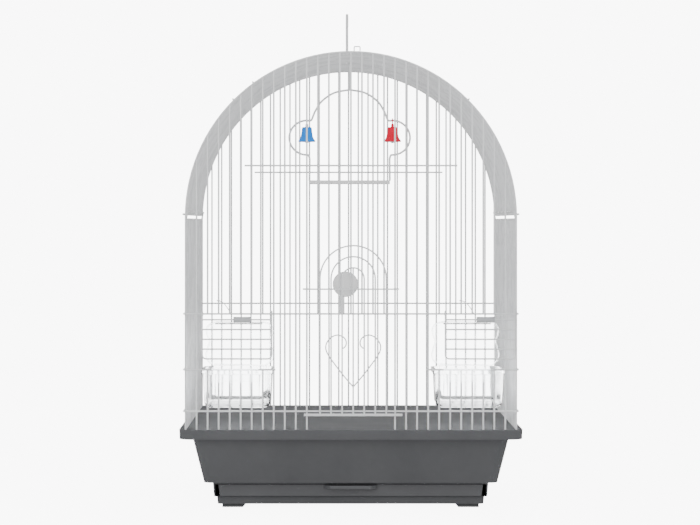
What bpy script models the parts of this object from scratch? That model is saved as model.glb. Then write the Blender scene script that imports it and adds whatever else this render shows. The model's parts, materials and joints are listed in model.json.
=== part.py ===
"""A small domed wire bird cage on a moulded base with a slide-out litter drawer.

Metres, +Z up, front at -Y. The origin is on the floor under the middle of the base.
"""

import math

import bmesh
import bpy
from mathutils import Matrix, Vector

# Base moulding
RIM_WIDTH = 0.345
RIM_DEPTH = 0.280
RIM_TOP = 0.0825
RIM_HEIGHT = 0.0095
RIM_CORNER = 0.0135
RIM_WALL = 0.003
LEDGE_DROP = 0.0035
TUB_INSET = 0.0132
TUB_TAPER = 0.0107
TUB_BOTTOM = 0.027
TUB_CORNER = 0.008
HOUSING_INSET = 0.0085
HOUSING_BOTTOM = 0.012
PLINTH_INSET = 0.004
PLINTH_BOTTOM = 0.004
LOWER_CORNER = 0.004
BASE_WALL = 0.0024
CORNER_STEPS = 3
FLOOR_LEDGE = 0.008
FOOT_INSET = 0.0054
FOOT_LENGTH = 0.021
FOOT_DEPTH = 0.014
FOOT_CHAMFER = 0.0035

# Litter drawer
DRAWER_SIDE_GAP = 0.0035
DRAWER_WALL = 0.002
DRAWER_FRONT = 0.003
LIP_WIDTH = 0.053
LIP_REACH = 0.008
LIP_HEIGHT = 0.0035

# Wire work
GAP = 0.0003
WIRE = 0.0018
RAIL = 0.0016
WIRE_GAPS_ACROSS = 30
WIRE_GAPS_DEEP = 24
PANEL_INSET_X = 0.00675
PANEL_INSET_Y = 0.0085
SPRING_Z = 0.2954
SIDE_TOP_Z = 0.2935
ROOF_END_RISE = 0.0031
ARCH_STEPS = 28
ROOF_STEPS = 12
UPPER_RAIL_Z = 0.347
UPPER_RAIL_WIDTH = 0.2132
WAIST_RAIL_Z = 0.1985
CUP_RAIL_Z = 0.1426
LOW_RAIL_Z = 0.101
BACK_UPPER_Z = 0.347
ROOF_WIRE_ANGLES = (45, 126, 135)
CLIP_X = 0.0062
CLIP_WIDTH = 0.0071
CLIP_HEIGHT = 0.0046
CLIP_WIRE = 0.0012

# Doorway and sliding door, counted in wire gaps from the middle
DOORWAY_GAPS = 4
DOOR_WIRE = 0.0016
DOOR_CENTRE_X = 0.0022
DOOR_FOOT_DROP = 0.0035
DOOR_ROD_RISE = 0.0248
DOOR_SPRING_RISE = 0.0352
DOOR_ROD_OVERLAP = 0.0058
DOOR_ROD = 0.0016
DOOR_FOOT_ROD = 0.003
DOOR_ARCH_STEPS = 12
HEART_WIRE = 0.0012
HEART_TIP_RISE = 0.0282
HEART_HEIGHT = 0.052
HEART_HALF_WIDTH = 0.0275
HEART_LOBE = 0.0103

# Feeder openings, doors, cups and hoods
OPENING_INNER_GAPS = 7
OPENING_OUTER_GAPS = 14
FLAP_CLEARANCE = 0.008
FLAP_BARS = 5
FLAP_TOP_DROP = 0.0057
FLAP_FOOT_RISE = 0.011
FLAP_OFFSETS = (0.0019, 0.0131)
EYE_HOLE = 0.0015
EYE_WALL = 0.0016
EYE_WIDTH = 0.0012
SLEEVE_LENGTH = 0.018
SLEEVE_RADIUS = 0.003
SLEEVE_OFFSET = 0.0055
CUP_CLEARANCE = 0.0042
CUP_DEPTH = 0.069
CUP_HEIGHT = 0.038
CUP_RIM_DROP = 0.0011
CUP_TAPER = 0.0025
CUP_WALL = 0.0016
CUP_CORNER = 0.005
CUP_OFFSETS = (0.0015, 0.0035)
CUP_LIP_WIDTH = 0.046
CUP_LIP_DROP = 0.0135
HOOD_INSET = 0.0006
HOOD_WAIST = 0.060
HOOD_HEIGHT = 0.045
HOOD_REACH = 0.030
HOOD_LEVELS = (0.15, 0.45, 0.8)
CATCH_WIRE = 0.0012
CATCH_RISE = 0.0125
CATCH_REACH = 0.0125
CATCH_ARM = ((0.3, 0.12), (0.65, 0.45), (0.85, 0.75), (1, 1))
CATCH_GAPS = (-12, 10)

# Perch, swing, bells and hanging hook
PERCH_X = -0.0055
PERCH_RISE = 0.0295
PERCH_RADIUS = 0.006
CAP_RADIUS = 0.0129
CAP_THICKNESS = 0.005
CAP_TAB_WIDTH = 0.004
CAP_TAB_OFFSET = -0.0028
SWING_WIRE = 0.0022
SWING_TOP_DROP = 0.0294
SWING_SHOULDER_X = 0.041
SWING_SHOULDER_DROP = 0.06215
LOBE_OUT_X = 0.0655
LOBE_BOTTOM_DROP = 0.09895
SWING_LEG_X = 0.043
SWING_LEG_DROP = 0.0012
SWING_PERCH_DROP = 0.12565
SWING_PERCH_RADIUS = 0.0022
BELL_X = 0.0457
BELL_RADIUS = 0.0092
BELL_TOP_RADIUS = 0.0052
BELL_HEIGHT = 0.0158
BELL_WALL = 0.0009
BELL_NECK = 0.0016
BELL_NECK_HEIGHT = 0.0035
BELL_CROWN = 0.001
BELL_FLARE = 0.0012
BELL_WAIST = 0.45
LOOP_RADIUS = 0.0029
LOOP_WIRE = 0.0012
CLAPPER_BALL = 0.003
CLAPPER_ROD = 0.0012
HOOK_WIRE = 0.003
HOOK_X = -0.0028
HOOK_RISE = 0.05185
HOOK_RADIUS = 0.011
HOOK_TIP_DROP = 0.003
HOOK_EYE_WALL = 0.0016
HOOK_LEVELS = (0.45, 0.8)

HALF_X = RIM_WIDTH / 2 - PANEL_INSET_X
HALF_Y = RIM_DEPTH / 2 - PANEL_INSET_Y
PITCH_X = 2 * HALF_X / WIRE_GAPS_ACROSS
PITCH_Y = 2 * HALF_Y / WIRE_GAPS_DEEP
LEDGE_Z = RIM_TOP - LEDGE_DROP
PANEL_BOTTOM = LEDGE_Z + GAP
ARCH_TOP_Z = SPRING_Z + HALF_X
RAIL_Y = HALF_Y + WIRE / 2 + GAP + RAIL / 2
DOOR_Y = RAIL_Y + RAIL / 2 + GAP + DOOR_WIRE / 2
TUB_HALF = (RIM_WIDTH / 2 - TUB_INSET, RIM_DEPTH / 2 - TUB_INSET)
TUB_LOW_HALF = (TUB_HALF[0] - TUB_TAPER, TUB_HALF[1] - TUB_TAPER)
HOUSING_HALF = (TUB_LOW_HALF[0] - HOUSING_INSET, TUB_LOW_HALF[1] - HOUSING_INSET)
PLINTH_HALF = (HOUSING_HALF[0] - PLINTH_INSET, HOUSING_HALF[1] - PLINTH_INSET)
POCKET_BOTTOM = HOUSING_BOTTOM + GAP
POCKET_TOP = TUB_BOTTOM - BASE_WALL
POCKET_HALF_X = HOUSING_HALF[0] - BASE_WALL
DOOR_BOTTOM_Z = LOW_RAIL_Z - DOOR_FOOT_DROP
DOOR_ROD_Z = WAIST_RAIL_Z + DOOR_ROD_RISE
DOOR_SPRING_Z = WAIST_RAIL_Z + DOOR_SPRING_RISE
DOOR_ROD_HALF = DOORWAY_GAPS * PITCH_X + DOOR_ROD_OVERLAP
HEART_TIP_Z = DOOR_BOTTOM_Z + HEART_TIP_RISE
OPENING_WIDTH = (OPENING_OUTER_GAPS - OPENING_INNER_GAPS) * PITCH_X
OPENING_CENTRE = (OPENING_INNER_GAPS + OPENING_OUTER_GAPS) / 2 * PITCH_X
FLAP_WIDTH = OPENING_WIDTH - FLAP_CLEARANCE
FLAP_SPAN = WAIST_RAIL_Z - FLAP_TOP_DROP - CUP_RAIL_Z - FLAP_FOOT_RISE
FLAP_PITCH = FLAP_SPAN / (FLAP_BARS - 1)
CUP_WIDTH = OPENING_WIDTH - CUP_CLEARANCE
CUP_BOTTOM_Z = CUP_RAIL_Z - CUP_RIM_DROP - CUP_HEIGHT
HOOD_WIDTH = CUP_WIDTH - 2 * HOOD_INSET
PERCH_Z = WAIST_RAIL_Z + PERCH_RISE
SWING_TOP_Z = ARCH_TOP_Z - SWING_TOP_DROP
SWING_SHOULDER_Z = ARCH_TOP_Z - SWING_SHOULDER_DROP
LOBE_BOTTOM_Z = ARCH_TOP_Z - LOBE_BOTTOM_DROP
SWING_PERCH_Z = ARCH_TOP_Z - SWING_PERCH_DROP
HOOK_TOP_Z = ARCH_TOP_Z + HOOK_RISE


def material(name, colour, roughness, transmission=0.0):
    made = bpy.data.materials.new(name)
    made.use_nodes = True
    shader = made.node_tree.nodes["Principled BSDF"]
    shader.inputs["Base Color"].default_value = (*colour, 1)
    shader.inputs["Roughness"].default_value = roughness
    shader.inputs["Transmission Weight"].default_value = transmission
    return made


def empty(name, at, parent=None):
    """A pivot on a joint's axis, which keeps its world position in its property at."""
    pivot = bpy.data.objects.new(name, None)
    bpy.context.collection.objects.link(pivot)
    pivot["at"] = at
    pivot.parent = parent
    pivot.location = Vector(at) - Vector(parent["at"] if parent else (0, 0, 0))
    return pivot


def add(name, mesh, finish, pivot=None, smooth=False):
    """Puts a bmesh in the scene as a named object whose origin is its pivot."""
    at = Vector(pivot["at"]) if pivot else Vector((0, 0, 0))
    bmesh.ops.recalc_face_normals(mesh, faces=mesh.faces)
    bmesh.ops.translate(mesh, verts=mesh.verts, vec=-at)
    data = bpy.data.meshes.new(name)
    mesh.to_mesh(data)
    mesh.free()
    if smooth:
        data.shade_smooth()
        data.set_sharp_from_angle(angle=math.radians(35))
    data.materials.append(finish)
    made = bpy.data.objects.new(name, data)
    bpy.context.collection.objects.link(made)
    made.parent = pivot
    return made


def helper(name, mesh, pivot=None):
    """A cutter or a part to be joined, left out of the finished object."""
    made = add(name, mesh, WHITE_WIRE, pivot)
    made.hide_render = True
    made.display_type = "WIRE"
    return made


def combine(target, operation, *tools):
    for tool in tools:
        modifier = target.modifiers.new(tool.name, "BOOLEAN")
        modifier.operation = operation
        modifier.solver = "EXACT"
        modifier.object = tool


def slab(low, high):
    """A block between two corners."""
    mesh = bmesh.new()
    bmesh.ops.create_cube(mesh, size=1)
    size = Vector(high) - Vector(low)
    bmesh.ops.scale(mesh, verts=mesh.verts, vec=size)
    bmesh.ops.translate(mesh, verts=mesh.verts, vec=(Vector(high) + Vector(low)) / 2)
    return mesh


def join(*meshes):
    """Several separate bodies in one bmesh, for a cutter."""
    whole = meshes[0]
    for other in meshes[1:]:
        data = bpy.data.meshes.new("joined")
        other.to_mesh(data)
        other.free()
        whole.from_mesh(data)
        bpy.data.meshes.remove(data)
    return whole


def plate(outline, low, high):
    """An outline in X and Z, given thickness from low to high along Y."""
    mesh = bmesh.new()
    corners = [mesh.verts.new((x, low, z)) for x, z in outline]
    face = mesh.faces.new(corners)
    grown = bmesh.ops.extrude_face_region(mesh, geom=[face])
    moved = [item for item in grown["geom"] if isinstance(item, bmesh.types.BMVert)]
    bmesh.ops.translate(mesh, verts=moved, vec=(0, high - low, 0))
    return mesh


def turned_side(mesh):
    """Turns a plate made in X and Z so that it lies in Y and Z."""
    bmesh.ops.rotate(mesh, verts=mesh.verts, matrix=Matrix.Rotation(math.pi / 2, 3, "Z"))
    return mesh


def arc(centre, radius, start, end, steps):
    """Points from start to end degrees round a centre."""
    turn = [math.radians(start + (end - start) * i / steps) for i in range(steps + 1)]
    return [
        (centre[0] + radius * math.cos(a), centre[1] + radius * math.sin(a)) for a in turn
    ]


def arch_outline(centre_x, half_width, bottom, spring, steps):
    top = arc((centre_x, spring), half_width, 0, 180, steps)
    return [
        (centre_x + half_width, bottom),
        *top,
        (centre_x - half_width, bottom),
    ]


def strips(outline, wires, wire, low, high):
    """The gaps between upright wires inside an outline, as separate cutters."""
    mesh = bmesh.new()
    corners = [mesh.verts.new((x, 0, z)) for x, z in outline]
    mesh.faces.new(corners)
    for x in wires:
        for side in (-wire / 2, wire / 2):
            bmesh.ops.bisect_plane(
                mesh,
                geom=mesh.verts[:] + mesh.edges[:] + mesh.faces[:],
                plane_co=(x + side, 0, 0),
                plane_no=(1, 0, 0),
                dist=1e-7,
            )
    solid = [
        face
        for face in mesh.faces
        if any(abs(face.calc_center_median().x - x) < wire / 2 for x in wires)
    ]
    bmesh.ops.delete(mesh, geom=solid, context="FACES")
    bmesh.ops.translate(mesh, verts=mesh.verts, vec=(0, low, 0))
    grown = bmesh.ops.extrude_face_region(mesh, geom=mesh.faces[:])
    moved = [item for item in grown["geom"] if isinstance(item, bmesh.types.BMVert)]
    bmesh.ops.translate(mesh, verts=moved, vec=(0, high - low, 0))
    return mesh


def stack(sections):
    """A closed moulding through round-cornered rectangles: (z, half_x, half_y, corner)."""
    mesh = bmesh.new()
    rings = []
    for z, half_x, half_y, corner in sections:
        in_x = half_x - corner
        in_y = half_y - corner
        outline = arc((in_x, in_y), corner, 0, 90, CORNER_STEPS)
        outline += arc((-in_x, in_y), corner, 90, 180, CORNER_STEPS)
        outline += arc((-in_x, -in_y), corner, 180, 270, CORNER_STEPS)
        outline += arc((in_x, -in_y), corner, 270, 360, CORNER_STEPS)
        rings.append([mesh.verts.new((x, y, z)) for x, y in outline])
    for lower, upper in zip(rings, rings[1:]):
        for i in range(len(lower)):
            j = (i + 1) % len(lower)
            mesh.faces.new((lower[i], lower[j], upper[j], upper[i]))
    mesh.faces.new(rings[0])
    mesh.faces.new(rings[-1])
    return mesh


def turned(profile, steps, centre=(0, 0, 0)):
    """A shape spun round the upright axis from (radius, z) points."""
    mesh = bmesh.new()
    points = [mesh.verts.new((r, 0, z)) for r, z in profile]
    edges = [mesh.edges.new(pair) for pair in zip(points, points[1:])]
    bmesh.ops.spin(
        mesh,
        geom=points + edges,
        cent=(0, 0, 0),
        axis=(0, 0, 1),
        angle=2 * math.pi,
        steps=steps,
        use_merge=True,
    )
    bmesh.ops.remove_doubles(mesh, verts=mesh.verts, dist=1e-6)
    bmesh.ops.translate(mesh, verts=mesh.verts, vec=centre)
    return mesh


def rod(start, end, radius, sides=8):
    mesh = bmesh.new()
    bmesh.ops.create_cone(
        mesh,
        cap_ends=True,
        segments=sides,
        radius1=radius,
        radius2=radius,
        depth=(Vector(end) - Vector(start)).length,
    )
    turn = (Vector(end) - Vector(start)).to_track_quat("Z", "Y").to_matrix()
    bmesh.ops.rotate(mesh, verts=mesh.verts, matrix=turn)
    bmesh.ops.translate(mesh, verts=mesh.verts, vec=(Vector(start) + Vector(end)) / 2)
    return mesh


def ring(centre, hole, wall, width, axis, sides=10):
    """An eye of square section: a washer with its axis along X, Y or Z."""
    turn = {"X": Matrix.Rotation(math.pi / 2, 3, "Y"), "Z": Matrix.Identity(3)}[axis]
    low = -width / 2
    high = width / 2
    profile = [(hole, low), (hole + wall, low), (hole + wall, high), (hole, high), (hole, low)]
    mesh = turned(profile, sides)
    bmesh.ops.rotate(mesh, verts=mesh.verts, matrix=turn)
    bmesh.ops.translate(mesh, verts=mesh.verts, vec=centre)
    return mesh


def wire_curve(name, points, thickness, finish, pivot, hidden=False):
    """A bent wire through the points, with closed ends."""
    at = Vector(pivot["at"])
    data = bpy.data.curves.new(name, "CURVE")
    data.dimensions = "3D"
    data.bevel_depth = thickness / 2
    data.bevel_resolution = 1
    data.use_fill_caps = True
    data.materials.append(finish)
    spline = data.splines.new("POLY")
    spline.points.add(len(points) - 1)
    for point, place in zip(spline.points, points):
        point.co = (*(Vector(place) - at), 1)
    curve = bpy.data.objects.new(name + "_path", data)
    bpy.context.collection.objects.link(curve)
    bpy.context.view_layer.update()
    solid = bpy.data.meshes.new_from_object(curve)
    bpy.data.objects.remove(curve)
    made = bpy.data.objects.new(name, solid)
    bpy.context.collection.objects.link(made)
    made.parent = pivot
    if hidden:
        made.hide_render = True
        made.display_type = "WIRE"
    return made


def base_tub():
    """The moulded base: rim, tapered tub, drawer housing, plinth and feet."""
    rim = (RIM_WIDTH / 2, RIM_DEPTH / 2, RIM_CORNER)
    rim_bottom = RIM_TOP - RIM_HEIGHT
    body = stack(
        [
            (PLINTH_BOTTOM, *PLINTH_HALF, LOWER_CORNER),
            (HOUSING_BOTTOM, *PLINTH_HALF, LOWER_CORNER),
            (HOUSING_BOTTOM, *HOUSING_HALF, LOWER_CORNER),
            (TUB_BOTTOM, *HOUSING_HALF, LOWER_CORNER),
            (TUB_BOTTOM, *TUB_LOW_HALF, TUB_CORNER),
            (rim_bottom, *TUB_HALF, TUB_CORNER),
            (rim_bottom, *rim),
            (RIM_TOP, *rim),
        ]
    )
    base = add("base_tub", body, GREY_MOULDING)
    low = [half - BASE_WALL for half in TUB_LOW_HALF]
    high = [half - BASE_WALL for half in TUB_HALF]
    seat = [side - RIM_WALL for side in rim[:2]]
    hollow = stack(
        [
            (TUB_BOTTOM + BASE_WALL, *low, TUB_CORNER - BASE_WALL),
            (LEDGE_Z, *high, TUB_CORNER - BASE_WALL),
            (LEDGE_Z, *seat, RIM_CORNER - RIM_WALL),
            (RIM_TOP + RIM_WALL, *seat, RIM_CORNER - RIM_WALL),
        ]
    )
    floor_x = POCKET_HALF_X - FLOOR_LEDGE
    floor_y = HOUSING_HALF[1] - BASE_WALL - FLOOR_LEDGE
    floor_hole = slab(
        (-floor_x, -floor_y, POCKET_TOP - BASE_WALL),
        (floor_x, floor_y, TUB_BOTTOM + 2 * BASE_WALL),
    )
    pocket = slab(
        (-POCKET_HALF_X, -HOUSING_HALF[1] - BASE_WALL, POCKET_BOTTOM),
        (POCKET_HALF_X, HOUSING_HALF[1] - BASE_WALL, POCKET_TOP),
    )
    under_x = PLINTH_HALF[0] - BASE_WALL
    under_y = PLINTH_HALF[1] - BASE_WALL
    underside = slab(
        (-under_x, -under_y, 0),
        (under_x, under_y, POCKET_BOTTOM - BASE_WALL),
    )
    combine(
        base,
        "DIFFERENCE",
        helper("cut_tub_inside", hollow),
        helper("cut_drawer_pocket", pocket),
        helper("cut_floor_hole", floor_hole),
        helper("cut_underside", underside),
    )
    for side_x in (-1, 1):
        for side_y in (-1, 1):
            combine(base, "UNION", foot(side_x, side_y))


def foot(side_x, side_y):
    outer_x = PLINTH_HALF[0] - FOOT_INSET
    outer_y = PLINTH_HALF[1] - FOOT_INSET
    top = POCKET_BOTTOM - BASE_WALL / 2
    inner_x = outer_x - FOOT_LENGTH
    outline = [
        (side_x * outer_x, 0),
        (side_x * inner_x, 0),
        (side_x * (inner_x - FOOT_CHAMFER), PLINTH_BOTTOM),
        (side_x * (inner_x - FOOT_CHAMFER), top),
        (side_x * outer_x, top),
    ]
    near, far = sorted((side_y * (outer_y - FOOT_DEPTH), side_y * outer_y))
    return helper(f"join_foot_{side_x}_{side_y}", plate(outline, near, far))


def litter_drawer():
    pivot = empty("drawer_slide", (0, -HOUSING_HALF[1], HOUSING_BOTTOM))
    half_x = POCKET_HALF_X - DRAWER_SIDE_GAP
    front = -HOUSING_HALF[1]
    back = HOUSING_HALF[1] - BASE_WALL - 2 * GAP
    low = POCKET_BOTTOM + GAP
    high = POCKET_TOP - GAP
    tray = add("litter_drawer", slab((-half_x, front, low), (half_x, back, high)), GREY_DRAWER, pivot)
    inside = slab(
        (DRAWER_WALL - half_x, front + DRAWER_FRONT, low + DRAWER_WALL),
        (half_x - DRAWER_WALL, back - DRAWER_WALL, high + DRAWER_WALL),
    )
    lip_top = high - GAP
    lip = slab(
        (-LIP_WIDTH / 2, front - LIP_REACH, lip_top - LIP_HEIGHT),
        (LIP_WIDTH / 2, front + DRAWER_WALL, lip_top),
    )
    combine(tray, "DIFFERENCE", helper("cut_drawer_inside", inside, pivot))
    combine(tray, "UNION", helper("join_pull_lip", lip, pivot))


def arched_panel(name, y, openings):
    """An arched frame filled with upright wires, with its openings cut away."""
    near = y - WIRE / 2
    far = y + WIRE / 2
    outline = arch_outline(0, HALF_X + WIRE / 2, PANEL_BOTTOM, SPRING_Z, ARCH_STEPS)
    inside = arch_outline(0, HALF_X - WIRE / 2, PANEL_BOTTOM + WIRE, SPRING_Z, ARCH_STEPS)
    wires = [
        (i - WIRE_GAPS_ACROSS / 2) * PITCH_X for i in range(1, WIRE_GAPS_ACROSS)
    ]
    panel = add(name, plate(outline, near, far), WHITE_WIRE, WIRE_TOP)
    gaps = strips(inside, wires, WIRE, near - WIRE, far + WIRE)
    combine(panel, "DIFFERENCE", helper("cut_" + name, gaps, WIRE_TOP))
    if openings:
        blocks = [
            slab((x0, near - WIRE, z0), (x1, far + WIRE, z1)) for x0, x1, z0, z1 in openings
        ]
        combine(panel, "DIFFERENCE", helper(f"cut_{name}_openings", join(*blocks), WIRE_TOP))


def front_openings():
    """The doorway and the two feeder openings, as (x0, x1, z0, z1)."""
    door = DOORWAY_GAPS * PITCH_X - WIRE / 2
    inner = OPENING_INNER_GAPS * PITCH_X + WIRE / 2
    outer = OPENING_OUTER_GAPS * PITCH_X - WIRE / 2
    top = WAIST_RAIL_Z - RAIL / 2
    sill = CUP_RAIL_Z + RAIL / 2
    return [
        (-door, door, PANEL_BOTTOM + WIRE, top),
        (-outer, -inner, sill, top),
        (inner, outer, sill, top),
    ]


def side_panel(name, side):
    """A flat comb of upright wires between a top and a bottom rail."""
    end = HALF_Y - WIRE / 2 - GAP
    top = SIDE_TOP_Z + WIRE / 2
    outline = [(-end, PANEL_BOTTOM), (end, PANEL_BOTTOM), (end, top), (-end, top)]
    inner = end - WIRE
    inside = [
        (-inner, PANEL_BOTTOM + WIRE),
        (inner, PANEL_BOTTOM + WIRE),
        (inner, top - WIRE),
        (-inner, top - WIRE),
    ]
    wires = [(i - WIRE_GAPS_DEEP / 2) * PITCH_Y for i in range(1, WIRE_GAPS_DEEP)]
    x = -side * HALF_X
    near = x - WIRE / 2
    far = x + WIRE / 2
    panel = add(name, turned_side(plate(outline, near, far)), WHITE_WIRE, WIRE_TOP)
    gaps = turned_side(strips(inside, wires, WIRE, near - WIRE, far + WIRE))
    combine(panel, "DIFFERENCE", helper("cut_" + name, gaps, WIRE_TOP))


def roof_panel():
    """Arched wires side by side between two long end rails, made as a sheet with thickness."""
    mesh = bmesh.new()
    end = HALF_Y - WIRE / 2 - GAP
    places = [-end, WIRE - end]
    for i in range(1, WIRE_GAPS_DEEP):
        y = (i - WIRE_GAPS_DEEP / 2) * PITCH_Y
        places += [y - WIRE / 2, y + WIRE / 2]
    places += [end - WIRE, end]
    start = math.asin(ROOF_END_RISE / HALF_X)
    foot_at = (HALF_X * math.cos(start), SPRING_Z + HALF_X * math.sin(start))
    chain = [mesh.verts.new((foot_at[0], y, foot_at[1])) for y in places]
    last = chain + [mesh.edges.new(pair) for pair in zip(chain, chain[1:])]
    rail_turn = WIRE / HALF_X
    middle_turn = math.pi - 2 * start - 2 * rail_turn
    for turn, steps in ((rail_turn, 1), (middle_turn, ROOF_STEPS), (rail_turn, 1)):
        spun = bmesh.ops.spin(
            mesh,
            geom=last,
            cent=(0, 0, SPRING_Z),
            axis=(0, -1, 0),
            angle=turn,
            steps=steps,
        )
        last = spun["geom_last"]
    rail_top = SPRING_Z + HALF_X * math.sin(start + rail_turn)
    gaps = []
    for face in mesh.faces:
        centre = face.calc_center_median()
        span = max(v.co.y for v in face.verts) - min(v.co.y for v in face.verts)
        if centre.z > rail_top and span > 1.5 * WIRE:
            gaps.append(face)
    bmesh.ops.delete(mesh, geom=gaps, context="FACES")
    roof = add("roof_panel", mesh, WHITE_WIRE, WIRE_TOP)
    thick = roof.modifiers.new("wire thickness", "SOLIDIFY")
    thick.thickness = WIRE
    thick.offset = 0


def long_rail(name, z, x0, x1, y):
    """A straight level wire along X."""
    low = (x0, y - RAIL / 2, z - RAIL / 2)
    high = (x1, y + RAIL / 2, z + RAIL / 2)
    add(name, slab(low, high), WHITE_WIRE, WIRE_TOP)


def rails():
    """The level wires that cross the uprights, a hairline off them."""
    reach = HALF_X + WIRE / 2
    cup_end = OPENING_INNER_GAPS * PITCH_X - WIRE
    long_rail("front_upper_rail", UPPER_RAIL_Z, -UPPER_RAIL_WIDTH / 2, UPPER_RAIL_WIDTH / 2, -RAIL_Y)
    long_rail("front_waist_rail", WAIST_RAIL_Z, -reach, reach, -RAIL_Y)
    long_rail("front_low_rail", LOW_RAIL_Z, -reach, reach, -RAIL_Y)
    long_rail("left_cup_rail", CUP_RAIL_Z, -reach, -cup_end, -RAIL_Y)
    long_rail("right_cup_rail", CUP_RAIL_Z, cup_end, reach, -RAIL_Y)
    long_rail("back_upper_rail", BACK_UPPER_Z, -UPPER_RAIL_WIDTH / 2, UPPER_RAIL_WIDTH / 2, RAIL_Y)
    long_rail("back_waist_rail", WAIST_RAIL_Z, -reach, reach, RAIL_Y)
    side_x = HALF_X + WIRE / 2 + GAP + RAIL / 2
    end = HALF_Y
    for side, label in ((-1, "left"), (1, "right")):
        for z, level in ((WAIST_RAIL_Z, "waist"), (CUP_RAIL_Z, "cup"), (LOW_RAIL_Z, "low")):
            low = (side * side_x - RAIL / 2, -end, z - RAIL / 2)
            high = (side * side_x + RAIL / 2, end, z + RAIL / 2)
            add(f"{label}_side_{level}_rail", slab(low, high), WHITE_WIRE, WIRE_TOP)


def roof_wires():
    """Straight wires along the outside of the roof that tie its arches together."""
    radius = HALF_X + WIRE / 2 + GAP + RAIL / 2
    for number, angle in enumerate(ROOF_WIRE_ANGLES, 1):
        bar = slab((-RAIL / 2, -HALF_Y, -RAIL / 2), (RAIL / 2, HALF_Y, RAIL / 2))
        turn = Matrix.Rotation(math.radians(90 - angle), 3, "Y")
        bmesh.ops.translate(bar, verts=bar.verts, vec=(0, 0, radius))
        bmesh.ops.rotate(bar, verts=bar.verts, matrix=turn)
        bmesh.ops.translate(bar, verts=bar.verts, vec=(0, 0, SPRING_Z))
        add(f"roof_wire_{number}", bar, WHITE_WIRE, WIRE_TOP)


def roof_clip():
    """A small square wire clip standing on the front arch."""
    low = ARCH_TOP_Z + WIRE / 2 + GAP
    half = CLIP_WIDTH / 2
    near = -HALF_Y - CLIP_WIRE / 2
    far = near + CLIP_WIRE
    outer = [
        (CLIP_X - half, low),
        (CLIP_X + half, low),
        (CLIP_X + half, low + CLIP_HEIGHT),
        (CLIP_X - half, low + CLIP_HEIGHT),
    ]
    clip = add("roof_clip", plate(outer, near, far), WHITE_WIRE, WIRE_TOP)
    hole = slab(
        (CLIP_X - half + CLIP_WIRE, near - CLIP_WIRE, low + CLIP_WIRE),
        (CLIP_X + half - CLIP_WIRE, far + CLIP_WIRE, low + CLIP_HEIGHT - CLIP_WIRE),
    )
    combine(clip, "DIFFERENCE", helper("cut_roof_clip", hole, WIRE_TOP))


def main_door():
    """Three nested arches on a foot rod and a guide rod, sliding up in front of the doorway."""
    pivot = empty("main_door_slide", (DOOR_CENTRE_X, -DOOR_Y, DOOR_BOTTOM_Z), WIRE_TOP)
    near = -DOOR_Y - DOOR_WIRE / 2
    far = -DOOR_Y + DOOR_WIRE / 2
    half = 3 * PITCH_X
    out = half + DOOR_WIRE / 2
    outline = arch_outline(DOOR_CENTRE_X, out, DOOR_BOTTOM_Z, DOOR_SPRING_Z, DOOR_ARCH_STEPS)
    door = add("main_door", plate(outline, near, far), WHITE_WIRE, pivot)
    for ring_number in (3, 2, 1):
        outer = ring_number * PITCH_X - DOOR_WIRE / 2
        steps = DOOR_ARCH_STEPS * ring_number // 3
        window = arch_outline(DOOR_CENTRE_X, outer, DOOR_BOTTOM_Z - WIRE, DOOR_SPRING_Z, steps)
        if ring_number > 1:
            inner = outer - PITCH_X + DOOR_WIRE
            fewer = steps - DOOR_ARCH_STEPS // 3
            core = arch_outline(DOOR_CENTRE_X, inner, DOOR_BOTTOM_Z - WIRE, DOOR_SPRING_Z, fewer)
            window += core[::-1]
        else:
            post = DOOR_WIRE / 2
            post_top = DOOR_SPRING_Z + outer / 2
            window += [
                (DOOR_CENTRE_X - post, DOOR_BOTTOM_Z - WIRE),
                (DOOR_CENTRE_X - post, post_top),
                (DOOR_CENTRE_X + post, post_top),
                (DOOR_CENTRE_X + post, DOOR_BOTTOM_Z - WIRE),
            ]
        cut = plate(window, near - WIRE, far + WIRE)
        combine(door, "DIFFERENCE", helper(f"cut_door_arch_{ring_number}", cut, pivot))
    foot_rod = slab(
        (DOOR_CENTRE_X - DOOR_ROD_HALF, near - GAP, DOOR_BOTTOM_Z - DOOR_FOOT_ROD / 2),
        (DOOR_CENTRE_X + DOOR_ROD_HALF, far + GAP / 2, DOOR_BOTTOM_Z + DOOR_FOOT_ROD / 2),
    )
    guide_rod = slab(
        (DOOR_CENTRE_X - DOOR_ROD_HALF, near - GAP, DOOR_ROD_Z - DOOR_ROD / 2),
        (DOOR_CENTRE_X + DOOR_ROD_HALF, far + GAP / 2, DOOR_ROD_Z + DOOR_ROD / 2),
    )
    combine(
        door,
        "UNION",
        helper("join_door_foot_rod", foot_rod, pivot),
        helper("join_door_guide_rod", guide_rod, pivot),
    )
    heart(pivot)


def heart(pivot):
    """A bent wire heart fixed to the front of the sliding door."""
    y = -DOOR_Y - DOOR_WIRE / 2 - 2 * GAP - HEART_WIRE / 2
    lobe_x = DOOR_CENTRE_X + HEART_HALF_WIDTH - HEART_LOBE
    lobe_z = HEART_TIP_Z + HEART_HEIGHT - HEART_LOBE
    side = [(lobe_x - HEART_LOBE / 2, lobe_z - HEART_LOBE / 3)]
    side += arc((lobe_x, lobe_z), HEART_LOBE, 160, -35, 10)
    tip = (DOOR_CENTRE_X, HEART_TIP_Z)
    left = [(2 * DOOR_CENTRE_X - x, z) for x, z in side]
    path = [(x, y, z) for x, z in side + [tip] + left[::-1]]
    wire_curve("door_heart", path, HEART_WIRE, WHITE_WIRE, pivot)


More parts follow.
